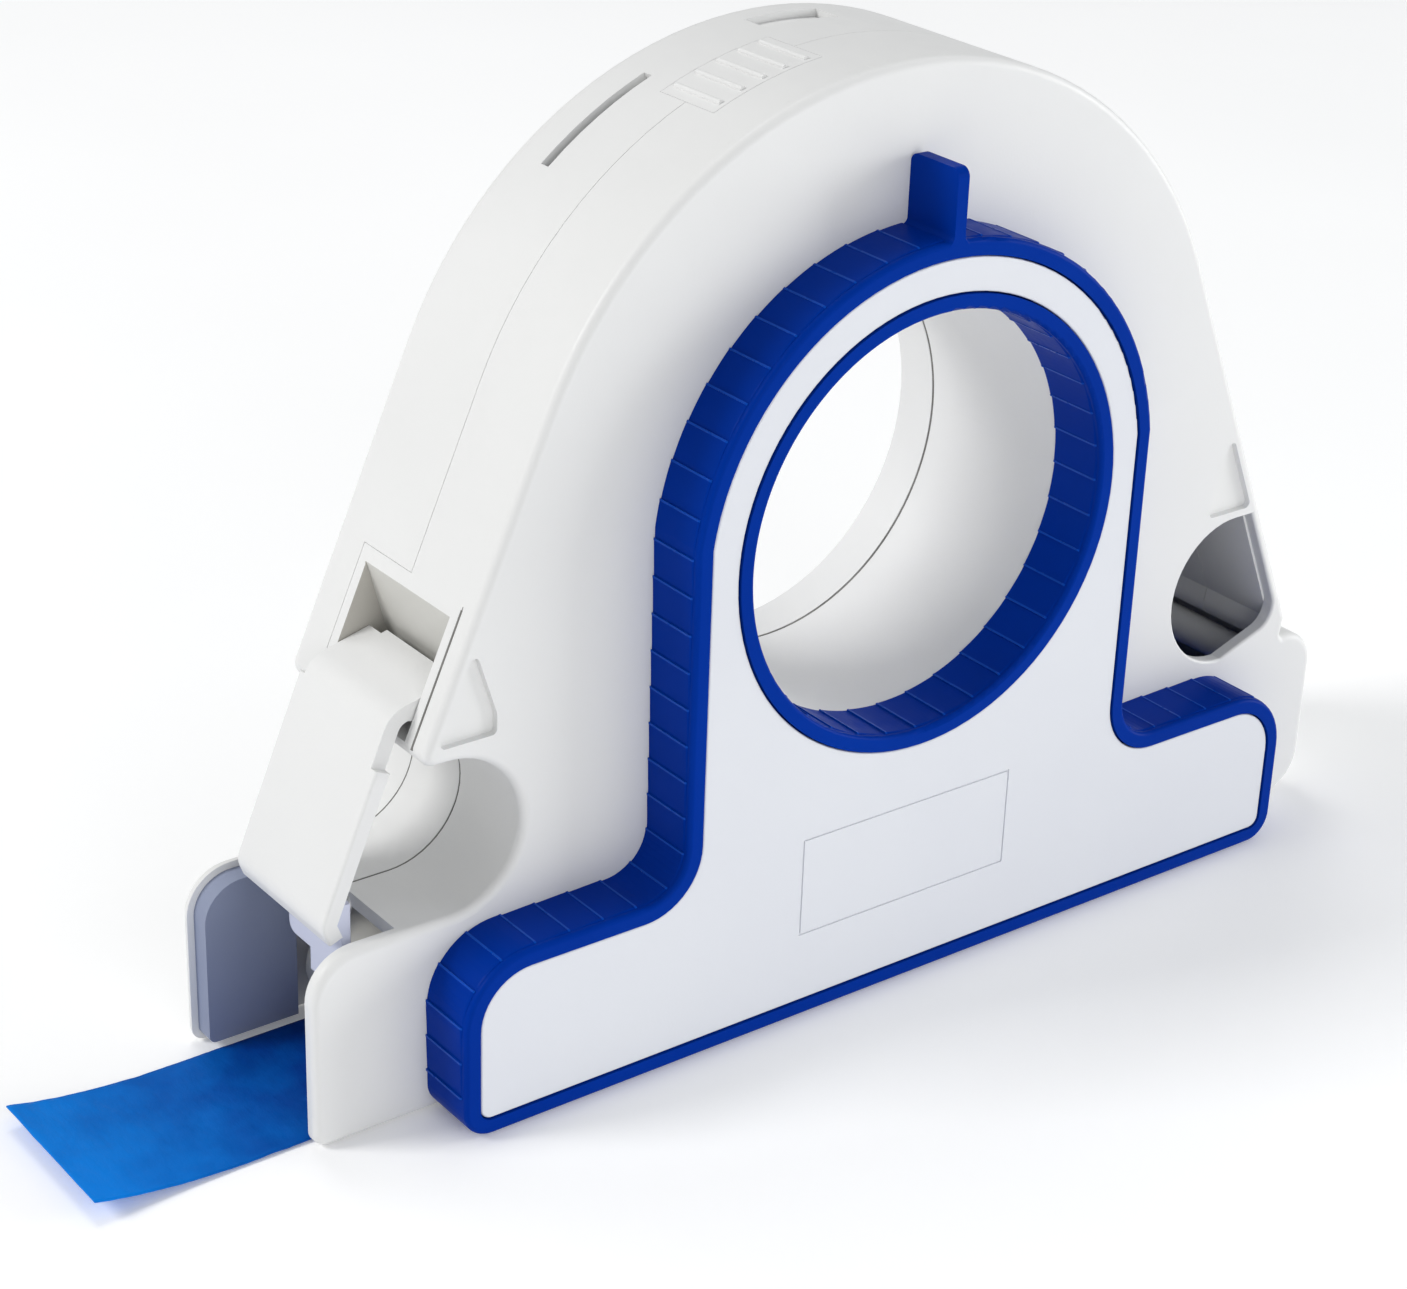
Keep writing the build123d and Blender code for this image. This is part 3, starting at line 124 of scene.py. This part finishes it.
# Darkest tone of the steel as a share of its colour
STEEL_SHADE_SHARE = 0.86

# Floor
FLOOR_HALF = 4000.0
FLOOR_DROP = 0.3

# Camera at the photograph's viewing angle, angles in degrees
CAMERA_PLACE = (-301.409, -363.371, 276.69)
CAMERA_YAW = 37.6124
CAMERA_PITCH = -25.7410
CAMERA_ROLL = 2.0177
CAMERA_FOCAL_PIXELS = 3070.1
PHOTO_WIDTH = 1407
SENSOR_WIDTH = 36.0

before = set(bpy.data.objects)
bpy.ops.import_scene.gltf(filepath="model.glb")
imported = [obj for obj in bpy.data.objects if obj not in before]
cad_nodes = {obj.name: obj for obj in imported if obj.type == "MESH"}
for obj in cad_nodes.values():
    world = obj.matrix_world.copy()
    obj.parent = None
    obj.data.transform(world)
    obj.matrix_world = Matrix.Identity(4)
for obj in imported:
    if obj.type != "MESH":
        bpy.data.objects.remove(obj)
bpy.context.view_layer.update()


def linear(red, green, blue):
    """Linear colour from the 0 to 255 values of a display."""
    values = []
    for channel in (red, green, blue):
        share = channel / 255
        values.append(share / 12.92 if share <= 0.04045 else ((share + 0.055) / 1.055) ** 2.4)
    return (*values, 1.0)


class Shade:
    """Small helper that builds one material's nodes around a Principled shader."""

    def __init__(self, name, colour, roughness):
        self.material = bpy.data.materials.new(name)
        self.material.use_nodes = True
        self.nodes = self.material.node_tree.nodes
        self.links = self.material.node_tree.links
        self.shader = self.nodes["Principled BSDF"]
        self.shader.inputs["Base Color"].default_value = colour
        self.shader.inputs["Roughness"].default_value = roughness
        self.place = self.nodes.new("ShaderNodeTexCoord").outputs["Object"]

    def set(self, **values):
        """Values that are the same all over the surface, put on the shader itself."""
        for name, value in values.items():
            self.shader.inputs[name.replace("_", " ")].default_value = value

    def stretched(self, scale):
        """Object coordinates stretched by three factors."""
        mapping = self.nodes.new("ShaderNodeMapping")
        mapping.inputs["Scale"].default_value = scale
        self.links.new(self.place, mapping.inputs["Vector"])
        return mapping.outputs["Vector"]

    def vector_step(self, operation, vector, other=None):
        """Outputs of one operation on a vector."""
        step = self.nodes.new("ShaderNodeVectorMath")
        step.operation = operation
        if other is not None:
            step.inputs[1].default_value = other
        self.links.new(vector, step.inputs[0])
        return step.outputs

    def noise(self, scale, detail=3.0, place=None):
        """Noise of this scale, in waves per metre."""
        texture = self.nodes.new("ShaderNodeTexNoise")
        texture.inputs["Scale"].default_value = scale
        texture.inputs["Detail"].default_value = detail
        self.links.new(place or self.place, texture.inputs["Vector"])
        return texture.outputs["Fac"]

    def spread(self, value, low, high, start=0.3, end=0.7):
        """A texture's value mapped from start..end to low..high."""
        ranger = self.nodes.new("ShaderNodeMapRange")
        ranger.inputs["From Min"].default_value = start
        ranger.inputs["From Max"].default_value = end
        ranger.inputs["To Min"].default_value = low
        ranger.inputs["To Max"].default_value = high
        self.links.new(value, ranger.inputs["Value"])
        return ranger.outputs["Result"]

    def tint(self, value, first, second):
        """Base colour that runs between two colours with a texture's value."""
        mix = self.nodes.new("ShaderNodeMix")
        mix.data_type = "RGBA"
        mix.inputs["A"].default_value = first
        mix.inputs["B"].default_value = second
        self.links.new(value, mix.inputs["Factor"])
        self.links.new(mix.outputs["Result"], self.shader.inputs["Base Color"])

    def rough(self, value):
        """Roughness from a texture's value."""
        self.links.new(value, self.shader.inputs["Roughness"])

    def bump(self, value, distance):
        """Relief of this depth in metres, laid over what relief there is."""
        relief = self.nodes.new("ShaderNodeBump")
        relief.inputs["Distance"].default_value = distance
        relief.inputs["Strength"].default_value = 1.0
        self.links.new(value, relief.inputs["Height"])
        normal = self.shader.inputs["Normal"]
        if normal.is_linked:
            self.links.new(normal.links[0].from_socket, relief.inputs["Normal"])
        self.links.new(relief.outputs["Normal"], normal)

    def soft_edges(self, radius):
        """Rounded look for sharp edges, before any relief."""
        bevel = self.nodes.new("ShaderNodeBevel")
        bevel.samples = 4
        bevel.inputs["Radius"].default_value = radius
        self.links.new(bevel.outputs["Normal"], self.shader.inputs["Normal"])


def moulded(name, colour, shade, roughness, grain=GRAIN, edge=0, specular=0.5):
    """Moulded plastic: satin, with a fine grain and faint flow marks between two display colours."""
    first = linear(*colour)
    look = Shade(name, first, roughness)
    look.set(Specular_IOR_Level=specular)
    if edge > 0:
        look.soft_edges(edge)
    look.tint(look.spread(look.noise(24.0, detail=2.0), 0.0, 1.0), first, linear(*shade))
    look.rough(look.spread(look.noise(320.0, detail=4.0), roughness - 0.06, roughness + 0.06))
    look.bump(look.noise(2600.0, detail=2.0), grain)
    return look.material


def turned_steel(name, colour, roughness, scale):
    """Steel with fine drawn lines along Y."""
    look = Shade(name, colour, roughness)
    look.set(Metallic=1.0)
    look.soft_edges(STEEL_EDGE)
    lines = look.noise(scale, detail=4.0, place=look.stretched((1.0, 0.05, 1.0)))
    look.rough(look.spread(lines, roughness - 0.08, roughness + 0.1))
    shade = (*(channel * STEEL_SHADE_SHARE for channel in colour[:3]), 1.0)
    look.tint(look.spread(look.noise(90.0), 0.0, 1.0), colour, shade)
    look.bump(lines, FINE_GRAIN)
    return look.material


def tape_look():
    """Creped blue masking paper: crosswise crinkles, a mottled colour, a slight waxy gloss, and painted
    shade that darkens it from the free end in to between the cheeks.
    """
    look = Shade("creped_tape", linear(4, 92, 190), 0.5)
    look.set(Specular_IOR_Level=0.08)
    crepe = look.noise(620.0, detail=5.0, place=look.stretched((1.0, 0.45, 1.0)))
    apart = look.nodes.new("ShaderNodeSeparateXYZ")
    look.links.new(look.place, apart.inputs["Vector"])
    # Painted shade: the colour runs from light at the free end to deep between the cheeks
    painted_shade = look.spread(apart.outputs["X"], 0.0, 1.0, STRIP_END_X * MM, TAPE_PAINTED_SHADE_X * MM)
    mottle = look.spread(look.noise(120.0), -0.12, 0.12, 0.35, 0.65)
    shade_and_mottle = look.nodes.new("ShaderNodeMath")
    shade_and_mottle.operation = "ADD"
    look.links.new(painted_shade, shade_and_mottle.inputs[0])
    look.links.new(mottle, shade_and_mottle.inputs[1])
    look.tint(shade_and_mottle.outputs["Value"], linear(2, 124, 222), linear(0, 58, 146))
    look.rough(look.spread(crepe, 0.36, 0.62))
    look.bump(crepe, 0.00016)
    look.bump(look.noise(2400.0, detail=2.0), 0.00002)
    return look.material


def wound_tape():
    """Sides of the roll: fine rings round the hub."""
    look = Shade("wound_tape", linear(10, 90, 188), 0.55)
    from_hub = look.vector_step("SUBTRACT", look.place, (0.0, 0.0, AXIS_HEIGHT * MM))["Vector"]
    flat = look.vector_step("MULTIPLY", from_hub, (1.0, 0.0, 1.0))["Vector"]
    reach = look.vector_step("LENGTH", flat)["Value"]
    rings = look.nodes.new("ShaderNodeTexNoise")
    rings.noise_dimensions = "1D"
    rings.inputs["Scale"].default_value = 2600.0
    rings.inputs["Detail"].default_value = 2.0
    look.links.new(reach, rings.inputs["W"])
    look.tint(look.spread(rings.outputs["Fac"], 0.0, 1.0), linear(6, 78, 170), linear(22, 108, 205))
    look.bump(rings.outputs["Fac"], 0.00012)
    return look.material


def board():
    """Wound grey-brown cardboard with fibres."""
    look = Shade("core_board", linear(178, 156, 122), 0.85)
    fibres = look.noise(700.0, detail=6.0, place=look.stretched((1.0, 0.25, 1.0)))
    look.tint(look.spread(fibres, 0.0, 1.0), linear(160, 138, 106), linear(192, 170, 136))
    look.bump(fibres, 0.00008)
    return look.material


def felt():
    """Pressed dark felt."""
    look = Shade("pressed_felt", linear(92, 92, 94), 0.95)
    look.set(Sheen_Weight=0.4)
    fibres = look.noise(1800.0, detail=6.0)
    look.tint(look.spread(fibres, 0.0, 1.0), linear(78, 78, 80), linear(112, 112, 114))
    look.bump(fibres, 0.0001)
    return look.material


def rubber():
    """Soft pale rubber of the roller's sleeve."""
    look = Shade("sleeve_rubber", linear(206, 204, 196), 0.7)
    look.tint(look.spread(look.noise(60.0), 0.0, 1.0), linear(200, 198, 190), linear(212, 210, 202))
    look.bump(look.noise(1500.0, detail=4.0), 0.00003)
    return look.material


def seam_shadow():
    """Dark line of a joint between two mouldings."""
    look = Shade("seam_shadow", linear(112, 111, 108), 0.8)
    look.tint(look.spread(look.noise(150.0), 0.0, 1.0), linear(98, 97, 94), linear(128, 127, 124))
    return look.material


def floor_look():
    """Pale paper floor."""
    look = Shade("pale_floor", linear(253, 253, 253), 0.9)
    look.set(Emission_Color=linear(255, 255, 255), Emission_Strength=0.1)
    look.tint(look.spread(look.noise(6.0), 0.0, 1.0), linear(252, 252, 252), linear(254, 254, 254))
    return look.material


# Mouldings
white = moulded("white_moulded", (232, 232, 231), (229, 229, 228), 0.42, specular=0.3)
plate_white = moulded("plate_moulded", (223, 225, 230), (220, 222, 228), 0.38, FINE_GRAIN, specular=0.3)
# Painted shade: two darker greys for the sheets that line the hinge pocket, the side wall darkest
pocket_painted_shade = moulded("pocket_back_painted_shade", (206, 205, 200), (201, 200, 195), 0.5)
pocket_painted_deep_shade = moulded("pocket_side_painted_shade", (186, 183, 176), (181, 178, 171), 0.5)
grey = moulded("grey_moulded", (196, 198, 210), (188, 190, 203), 0.45, edge=SOFT_EDGE)
# Painted shade and painted blue reflection of the tape: the blade guard's white plastic tinted pale
# lilac
guard_painted_shade = moulded("guard_painted_shade_and_reflection", (204, 208, 226), (197, 201, 220), 0.42, FINE_GRAIN, edge=SOFT_EDGE)
# Painted shade and painted blue reflection of the tape: the tape guide's white plastic made dark slate
# blue, as it looks deep between the cheeks
guide_painted_shade = moulded("guide_painted_shade_and_reflection", (146, 154, 177), (140, 148, 171), 0.5, specular=0.2)
blue = moulded("blue_moulded", (0, 50, 152), (0, 45, 142), 0.34, FINE_GRAIN, specular=0.02)
# Painted highlight: a lighter blue for the fine ridges at the tread steps, standing in for the glint
# along their edges
blue_painted_highlight = moulded("blue_painted_highlight", (6, 72, 178), (4, 66, 168), 0.3, FINE_GRAIN, specular=0.1)
roller_blue = moulded("roller_blue", (10, 92, 226), (6, 84, 214), 0.34, FINE_GRAIN, specular=0.1)

# Everything else
steel = turned_steel("zinc_steel", linear(190, 190, 192), 0.32, 900.0)
blade_steel = turned_steel("ground_steel", linear(205, 207, 210), 0.22, 1600.0)
creped = tape_look()
wound = wound_tape()
cardboard = board()
felt_grey = felt()
sleeve = rubber()
seam = seam_shadow()

HOUSING_NODES = ("near_shell", "near_rim", "near_floor", "far_cover", "far_rim", "far_floor")
AXLE_NODES = ("roller_axle", "guide_axle", "rear_axle", "axle_clips")
HINGE_NODES = ("cutter_pin", "cutter_spring")
SCREW_NODES = ("grip_screws", "carrier_screws", "blade_screws")
LOOK_NODES = (
    (white, HOUSING_NODES + ("release_latch", "hub_tube", "arm_bracket", "cutter_arm", "rear_carrier")),
    (plate_white, ("grip_plate",)),
    (grey, ("front_carrier", "roller_core", "guide_roller")),
    (guard_painted_shade, ("blade_guard",)),
    (guide_painted_shade, ("tape_guide",)),
    (blue, ("grip_frame",)),
    (roller_blue, ("rear_roller",)),
    (steel, AXLE_NODES + HINGE_NODES + SCREW_NODES),
    (blade_steel, ("cutter_blade",)),
    (wound, ("tape_roll",)),
    (cardboard, ("roll_core",)),
    (felt_grey, ("drag_washer",)),
    (sleeve, ("roller_sleeve",)),
)

for look, node_names in LOOK_NODES:
    for node_name in node_names:
        materials = cad_nodes[node_name].data.materials
        materials.clear()
        materials.append(look)


def mesh_piece(name, vertices, faces, material, smooth=False):
    """Object from vertices in millimetres and faces, with its normals turned outward."""
    mesh = bpy.data.meshes.new(name)
    mesh.from_pydata([tuple(c * MM for c in vertex) for vertex in vertices], [], faces)
    shape = bmesh.new()
    shape.from_mesh(mesh)
    bmesh.ops.remove_doubles(shape, verts=shape.verts, dist=WELD_REACH)
    bmesh.ops.recalc_face_normals(shape, faces=shape.faces)
    for face in shape.faces:
        face.smooth = smooth
    shape.to_mesh(mesh)
    shape.free()
    piece = bpy.data.objects.new(name, mesh)
    bpy.context.scene.collection.objects.link(piece)
    mesh.materials.append(material)
    return piece


def arc_points(centre, radius, start, end, step=0.6):
    """Points of an arc in the side view, from one angle to another in degrees."""
    sweep = radians(end - start)
    count = max(2, int(abs(sweep) * radius / step))
    points = []
    for index in range(count + 1):
        angle = radians(start) + sweep * index / count
        points.append((centre[0] + radius * cos(angle), centre[1] + radius * sin(angle)))
    return points


def line_points(start, end, step=1.0):
    """Points along a straight run in the side view."""
    count = max(1, int(hypot(end[0] - start[0], end[1] - start[1]) / step))
    return [
        (
            start[0] + (end[0] - start[0]) * index / count,
            start[1] + (end[1] - start[1]) * index / count,
        )
        for index in range(count + 1)
    ]


def lengths_along(points):
    """Distance along a run of points at each of them."""
    total = 0.0
    lengths = [total]
    for start, end in zip(points, points[1:]):
        total += hypot(end[0] - start[0], end[1] - start[1])
        lengths.append(total)
    return lengths


def at_length(points, lengths, distance):
    """Point at a distance along a run, and the normal there on the run's left."""
    index = min(bisect_left(lengths, distance, 1), len(lengths) - 1)
    start, end = points[index - 1], points[index]
    run = lengths[index] - lengths[index - 1]
    share = (distance - lengths[index - 1]) / run
    along = ((end[0] - start[0]) / run, (end[1] - start[1]) / run)
    place = (start[0] + (end[0] - start[0]) * share, start[1] + (end[1] - start[1]) * share)
    return place, (-along[1], along[0])


def grip_side():
    """Outer side of the grip from its lower left corner over the arch to its lower right one."""
    shoulder_rise = sqrt(GRIP_ARCH_RADIUS**2 - GRIP_STEM_HALF**2)
    shoulder_angle = degrees(atan2(shoulder_rise, GRIP_STEM_HALF))
    corner_x = GRIP_HALF_LENGTH - GRIP_FLANGE_CORNER
    corner_z = GRIP_FLANGE_HEIGHT - GRIP_FLANGE_CORNER
    root_x = GRIP_STEM_HALF + GRIP_ROOT_FILLET
    root_z = GRIP_FLANGE_HEIGHT + GRIP_ROOT_FILLET
    stem_top = (-GRIP_STEM_HALF, AXIS_HEIGHT + shoulder_rise)
    left = line_points((-GRIP_HALF_LENGTH, TREAD_LOW), (-GRIP_HALF_LENGTH, corner_z))
    left += arc_points((-corner_x, corner_z), GRIP_FLANGE_CORNER, 180, 90)[1:]
    left += line_points((-corner_x, GRIP_FLANGE_HEIGHT), (-root_x, GRIP_FLANGE_HEIGHT))[1:]
    left += arc_points((-root_x, root_z), GRIP_ROOT_FILLET, -90, 0)[1:]
    left += line_points((-GRIP_STEM_HALF, root_z), stem_top)[1:]
    arch = arc_points((0, AXIS_HEIGHT), GRIP_ARCH_RADIUS, 180 - shoulder_angle, shoulder_angle)
    right = [(-x, z) for x, z in reversed(left)]
    return left + arch[1:] + right[1:]


def tread_band(points, spans, sign, rise_most, low_share, count):
    """Vertices and faces of treads, each rising along the run to its height and then stepping down."""
    lengths = lengths_along(points)
    vertices = []
    faces = []
    for start, end in spans:
        first = len(vertices)
        for index in range(count + 1):
            share = index / count
            place, out = at_length(points, lengths, start + (end - start) * share)
            rise = rise_most * (low_share + (1 - low_share) * share)
            section = (
                (TREAD_BACK_Y, -TREAD_SINK),
                (TREAD_BACK_Y, rise),
                (TREAD_FRONT_Y + TREAD_EASE, rise),
                (TREAD_FRONT_Y, rise * TREAD_EASE_SHARE),
                (TREAD_FRONT_Y, -TREAD_SINK),
            )
            for y, height in section:
                height = height * sign
                vertices.append((place[0] + out[0] * height, y, place[1] + out[1] * height))
        ring = len(section)
        last = first + count * ring
        for row in range(first, last, ring):
            for side in range(ring):
                a = row + side
                b = row + (side + 1) % ring
                faces.append((a, b, b + ring, a + ring))
        faces.append(tuple(first + side for side in range(ring)))
        faces.append(tuple(last + side for side in reversed(range(ring))))
    return vertices, faces


def outer_tread_spans(points):
    """Start and end of each tread, leaving out the fin and its root."""
    lengths = lengths_along(points)
    total = lengths[-1]
    fin = [
        length
        for (x, z), length in zip(points, lengths)
        if z > AXIS_HEIGHT and FIN_LEFT_X - FIN_ROOT < x < FIN_RIGHT_X + FIN_ROOT
    ]
    fin_start = min(fin) - FIN_CLEARANCE
    fin_end = max(fin) + FIN_CLEARANCE
    spans = []
    count = int(total / TREAD_PITCH)
    offset = (total - count * TREAD_PITCH) / 2
    for index in range(count):
        start = offset + index * TREAD_PITCH
        end = start + TREAD_PITCH
        if end <= fin_start or start >= fin_end:
            spans.append((start, end))
            continue
        if start < fin_start - TREAD_SHORTEST:
            spans.append((start, fin_start))
        if end > fin_end + TREAD_SHORTEST:
            spans.append((fin_end, end))
    return spans


def treads(name, points, spans, sign):
    """Treads of a run and the fine ridge at the start of each, in a lighter blue that paints the
    highlight along the step's edge.
    """
    vertices, faces = tread_band(points, spans, sign, TREAD_RISE, TREAD_LOW_SHARE, TREAD_STEPS)
    ridges = [(start, start + TREAD_LINE_WIDTH) for start, end in spans]
    lines, line_faces = tread_band(points, ridges, sign, TREAD_LINE_RISE, 1.0, 1)
    for piece in (
        mesh_piece(name, vertices, faces, blue),
        mesh_piece(name + "_edges", lines, line_faces, blue_painted_highlight),
    ):
        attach(piece, "housing")


side_points = grip_side()
treads("grip_treads", side_points, outer_tread_spans(side_points), 1)

ring_points = arc_points((0, AXIS_HEIGHT), HAND_HOLE_RADIUS, 270, -90)
ring_length = lengths_along(ring_points)[-1]
ring_spans = [
    (ring_length * index / RING_TREADS, ring_length * (index + 1) / RING_TREADS)
    for index in range(RING_TREADS)
]
treads("ring_treads", ring_points, ring_spans, -1)


def seam_line(name, points, start_y, end_y, body="housing", look=seam):
    """Thin line or sheet along a run in the side view, just proud of it on the run's left."""
    lengths = lengths_along(points)
    section = (
        (start_y, -SEAM_DEPTH),
        (start_y, SEAM_RISE),
        (end_y, SEAM_RISE),
        (end_y, -SEAM_DEPTH),
    )
    vertices = []
    faces = []
    for length in lengths:
        place, out = at_length(points, lengths, length)
        for y, height in section:
            vertices.append((place[0] + out[0] * height, y, place[1] + out[1] * height))
    ring = len(section)
    last = (len(points) - 1) * ring
    for row in range(0, last, ring):
        for side in range(ring):
            a = row + side
            b = row + (side + 1) % ring
            faces.append((a, b, b + ring, a + ring))
    faces.append(tuple(range(ring)))
    faces.append(tuple(last + side for side in reversed(range(ring))))
    line = mesh_piece(name, vertices, faces, look)
    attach(line, body)


bore_run = arc_points((0, AXIS_HEIGHT), HAND_HOLE_RADIUS, -180, BORE_SEAM_END)
seam_line("bore_seam", bore_run, HUB_END_Y - BORE_SEAM_WIDTH, HUB_END_Y)

scoop_x, scoop_z, scoop_radius = SCOOP
scoop_low = scoop_z - scoop_radius
scoop_run = line_points((SCOOP_FRONT_X, scoop_low), (scoop_x, scoop_low))
scoop_run += arc_points((scoop_x, scoop_z), scoop_radius, -90, SCOOP_SEAM_END)[1:]
seam_line("scoop_seam", scoop_run, PARTING_Y - SEAM_WIDTH, PARTING_Y)

block_run = arc_points((scoop_x, scoop_z), scoop_radius, *BLOCK_SEAM_ARC)
seam_line("block_far_seam", block_run, BLOCK_FAR_Y, BLOCK_FAR_Y + SEAM_WIDTH, "cover")

block_side = line_points(BLOCK_LOW, BLOCK_HIGH)
seam_line("block_near_seam", block_side, BLOCK_NEAR_Y - BLOCK_SEAM_HALF, BLOCK_NEAR_Y + BLOCK_SEAM_HALF)

# Painted shade: dark sheets laid over the pocket's back wall and side wall, where shade falls inside it
pocket_near_y, pocket_far_y = POCKET_Y
seam_line("pocket_back_painted_shade", line_points(POCKET_LOW, POCKET_ROOF), pocket_near_y, pocket_far_y, look=pocket_painted_shade)
pocket_shade_sheet = mesh_piece(
    "pocket_side_painted_shade",
    [
        (x, y, z)
        for y in (pocket_far_y - SEAM_RISE, pocket_far_y + SEAM_DEPTH)
        for x, z in (POCKET_LOW, POCKET_ROOF, POCKET_FRONT)
    ],
    [(0, 1, 2), (5, 4, 3), (0, 3, 4, 1), (1, 4, 5, 2), (2, 5, 3, 0)],
    pocket_painted_deep_shade,
)
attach(pocket_shade_sheet, "housing")


def strip_middle():
    """Middle line of the tape in the side view, from the roll to the free end."""
    half = STRIP_THICKNESS / 2
    hub = (0.0, AXIS_HEIGHT)
    roll_reach = ROLL_RADIUS + STRIP_CLEARANCE + half
    guide_reach = GUIDE[2] + STRIP_CLEARANCE + half
    press_reach = ROLLER[2] + STRIP_CLEARANCE + half

    def run_angle(start, end, reach, turn):
        run = (end[0] - start[0], end[1] - start[1])
        return atan2(run[1], run[0]) + turn * acos(reach / hypot(*run))

    leave = run_angle(hub, GUIDE, roll_reach + guide_reach, -1)
    feed = run_angle(GUIDE, ROLLER, guide_reach - press_reach, 1)
    off_roll = (hub[0] + roll_reach * cos(leave), hub[1] + roll_reach * sin(leave))
    bend = arc_points(GUIDE, guide_reach, degrees(leave + pi), degrees(feed))
    press = arc_points(ROLLER, press_reach, degrees(feed), -90.0)
    points = line_points(off_roll, bend[0]) + bend[1:]
    points += line_points(points[-1], press[0])[1:] + press[1:]
    points += line_points(points[-1], (STRIP_LIFT_X, half), STRIP_FLAT_STEP)[1:]
    run = STRIP_LIFT_X - STRIP_END_X
    lift_radius = (run**2 + STRIP_LIFT**2) / (2 * STRIP_LIFT)
    lift_angle = degrees(atan2(run, lift_radius - STRIP_LIFT))
    lift_centre = (STRIP_LIFT_X, half + lift_radius)
    points += arc_points(lift_centre, lift_radius, -90.0, -90.0 - lift_angle)[1:]
    return points


def crinkle(along, across):
    """Height of the tape's crinkles at a place on it, in millimetres."""
    height = 0.0
    for along_scale, across_scale, layer, rise in CRINKLES:
        height += rise * noise.noise(Vector((along * along_scale, across * across_scale, layer)))
    return height


def tape_mesh():
    """The tape from the roll to its free end, with crinkles where it hangs free."""
    points = strip_middle()
    lengths = lengths_along(points)
    vertices = []
    faces = []
    free = STRIP_LIFT_X + CRINKLE_START
    for side in (1, -1):
        for (x, z), length in zip(points, lengths):
            place, out = at_length(points, lengths, length)
            loose = min(1.0, max(0.0, (free - x) / CRINKLE_EASE)) if z < ROLLER[1] else 0.0
            for index in range(SHEET_COLUMNS + 1):
                y = TAPE_NEAR_Y + (TAPE_FAR_Y - TAPE_NEAR_Y) * index / SHEET_COLUMNS
                height = SHEET_HALF * side + crinkle(length, y) * loose
                vertices.append((x + out[0] * height, y, z + out[1] * height))
    row = SHEET_COLUMNS + 1
    sheet = len(points) * row
    for layer in (0, sheet):
        for station in range(len(points) - 1):
            for index in range(SHEET_COLUMNS):
                a = layer + station * row + index
                faces.append((a, a + 1, a + row + 1, a + row))
    for station in range(len(points) - 1):
        for index in (0, SHEET_COLUMNS):
            a = station * row + index
            faces.append((a, a + row, a + row + sheet, a + sheet))
    for station in (0, len(points) - 1):
        for index in range(SHEET_COLUMNS):
            a = station * row + index
            faces.append((a, a + 1, a + 1 + sheet, a + sheet))
    return vertices, faces


tape = mesh_piece("tape", *tape_mesh(), creped, smooth=True)
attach(tape, "housing")
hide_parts("tape_strip")

floor_corners = [(-1, -1), (1, -1), (1, 1), (-1, 1)]
floor = mesh_piece(
    "floor",
    [(x * FLOOR_HALF, y * FLOOR_HALF, -FLOOR_DROP) for x, y in floor_corners],
    [(0, 1, 2, 3)],
    floor_look(),
)


def soft_light(name, place, target, size, power, colour):
    """Square area light aimed at a point, with places and sizes in metres and its power in watts."""
    data = bpy.data.lights.new(name, "AREA")
    data.shape = "SQUARE"
    data.size = size
    data.energy = power
    data.color = colour
    light = bpy.data.objects.new(name, data)
    light.location = place
    light.rotation_euler = (Vector(target) - Vector(place)).to_track_quat("-Z", "Y").to_euler()
    bpy.context.scene.collection.objects.link(light)


# Studio: name, place, target, size, power and colour of each light, then the even light round it all
LIGHTS = (
    ("key", (-1.45, 0.65, 1.2), (0.0, 0.0, 0.08), 0.6, 17.5, (1.0, 0.995, 0.985)),
    ("right_fill", (1.8, -0.8, 0.35), (0.0, 0.0, 0.09), 1.0, 22.5, (0.98, 0.99, 1.0)),
    ("front_fill", (-0.3, -1.6, 0.7), (0.0, 0.0, 0.08), 1.0, 7.5, (0.99, 0.995, 1.0)),
    ("back_top", (0.2, 1.0, 2.2), (0.0, 0.0, 0.08), 0.8, 9.5, (1.0, 1.0, 1.0)),
)
WORLD_COLOUR = (0.96, 0.98, 1.0, 1.0)
WORLD_STRENGTH = 0.37

for light_row in LIGHTS:
    soft_light(*light_row)

world = bpy.data.worlds.new("studio")
world.use_nodes = True
background = world.node_tree.nodes["Background"]
background.inputs["Color"].default_value = WORLD_COLOUR
background.inputs["Strength"].default_value = WORLD_STRENGTH
bpy.context.scene.world = world
bpy.context.scene.view_settings.view_transform = "Standard"


def place_camera():
    """Camera from its place, its yaw, pitch and roll, and its focal length in photo pixels."""
    yaw, pitch, roll = radians(CAMERA_YAW), radians(CAMERA_PITCH), radians(CAMERA_ROLL)
    ahead = Vector((sin(yaw) * cos(pitch), cos(yaw) * cos(pitch), sin(pitch)))
    level_right = ahead.cross(Vector((0.0, 0.0, 1.0))).normalized()
    level_up = level_right.cross(ahead)
    camera_right = cos(roll) * level_right + sin(roll) * level_up
    camera_up = -sin(roll) * level_right + cos(roll) * level_up
    data = bpy.data.cameras.new("camera")
    data.sensor_fit = "HORIZONTAL"
    data.sensor_width = SENSOR_WIDTH
    data.lens = CAMERA_FOCAL_PIXELS / PHOTO_WIDTH * SENSOR_WIDTH
    camera = bpy.data.objects.new("camera", data)
    turn = Matrix((camera_right, camera_up, -ahead)).transposed().to_4x4()
    camera.matrix_world = Matrix.Translation(Vector(CAMERA_PLACE) * MM) @ turn
    bpy.context.scene.collection.objects.link(camera)
    bpy.context.scene.camera = camera


place_camera()
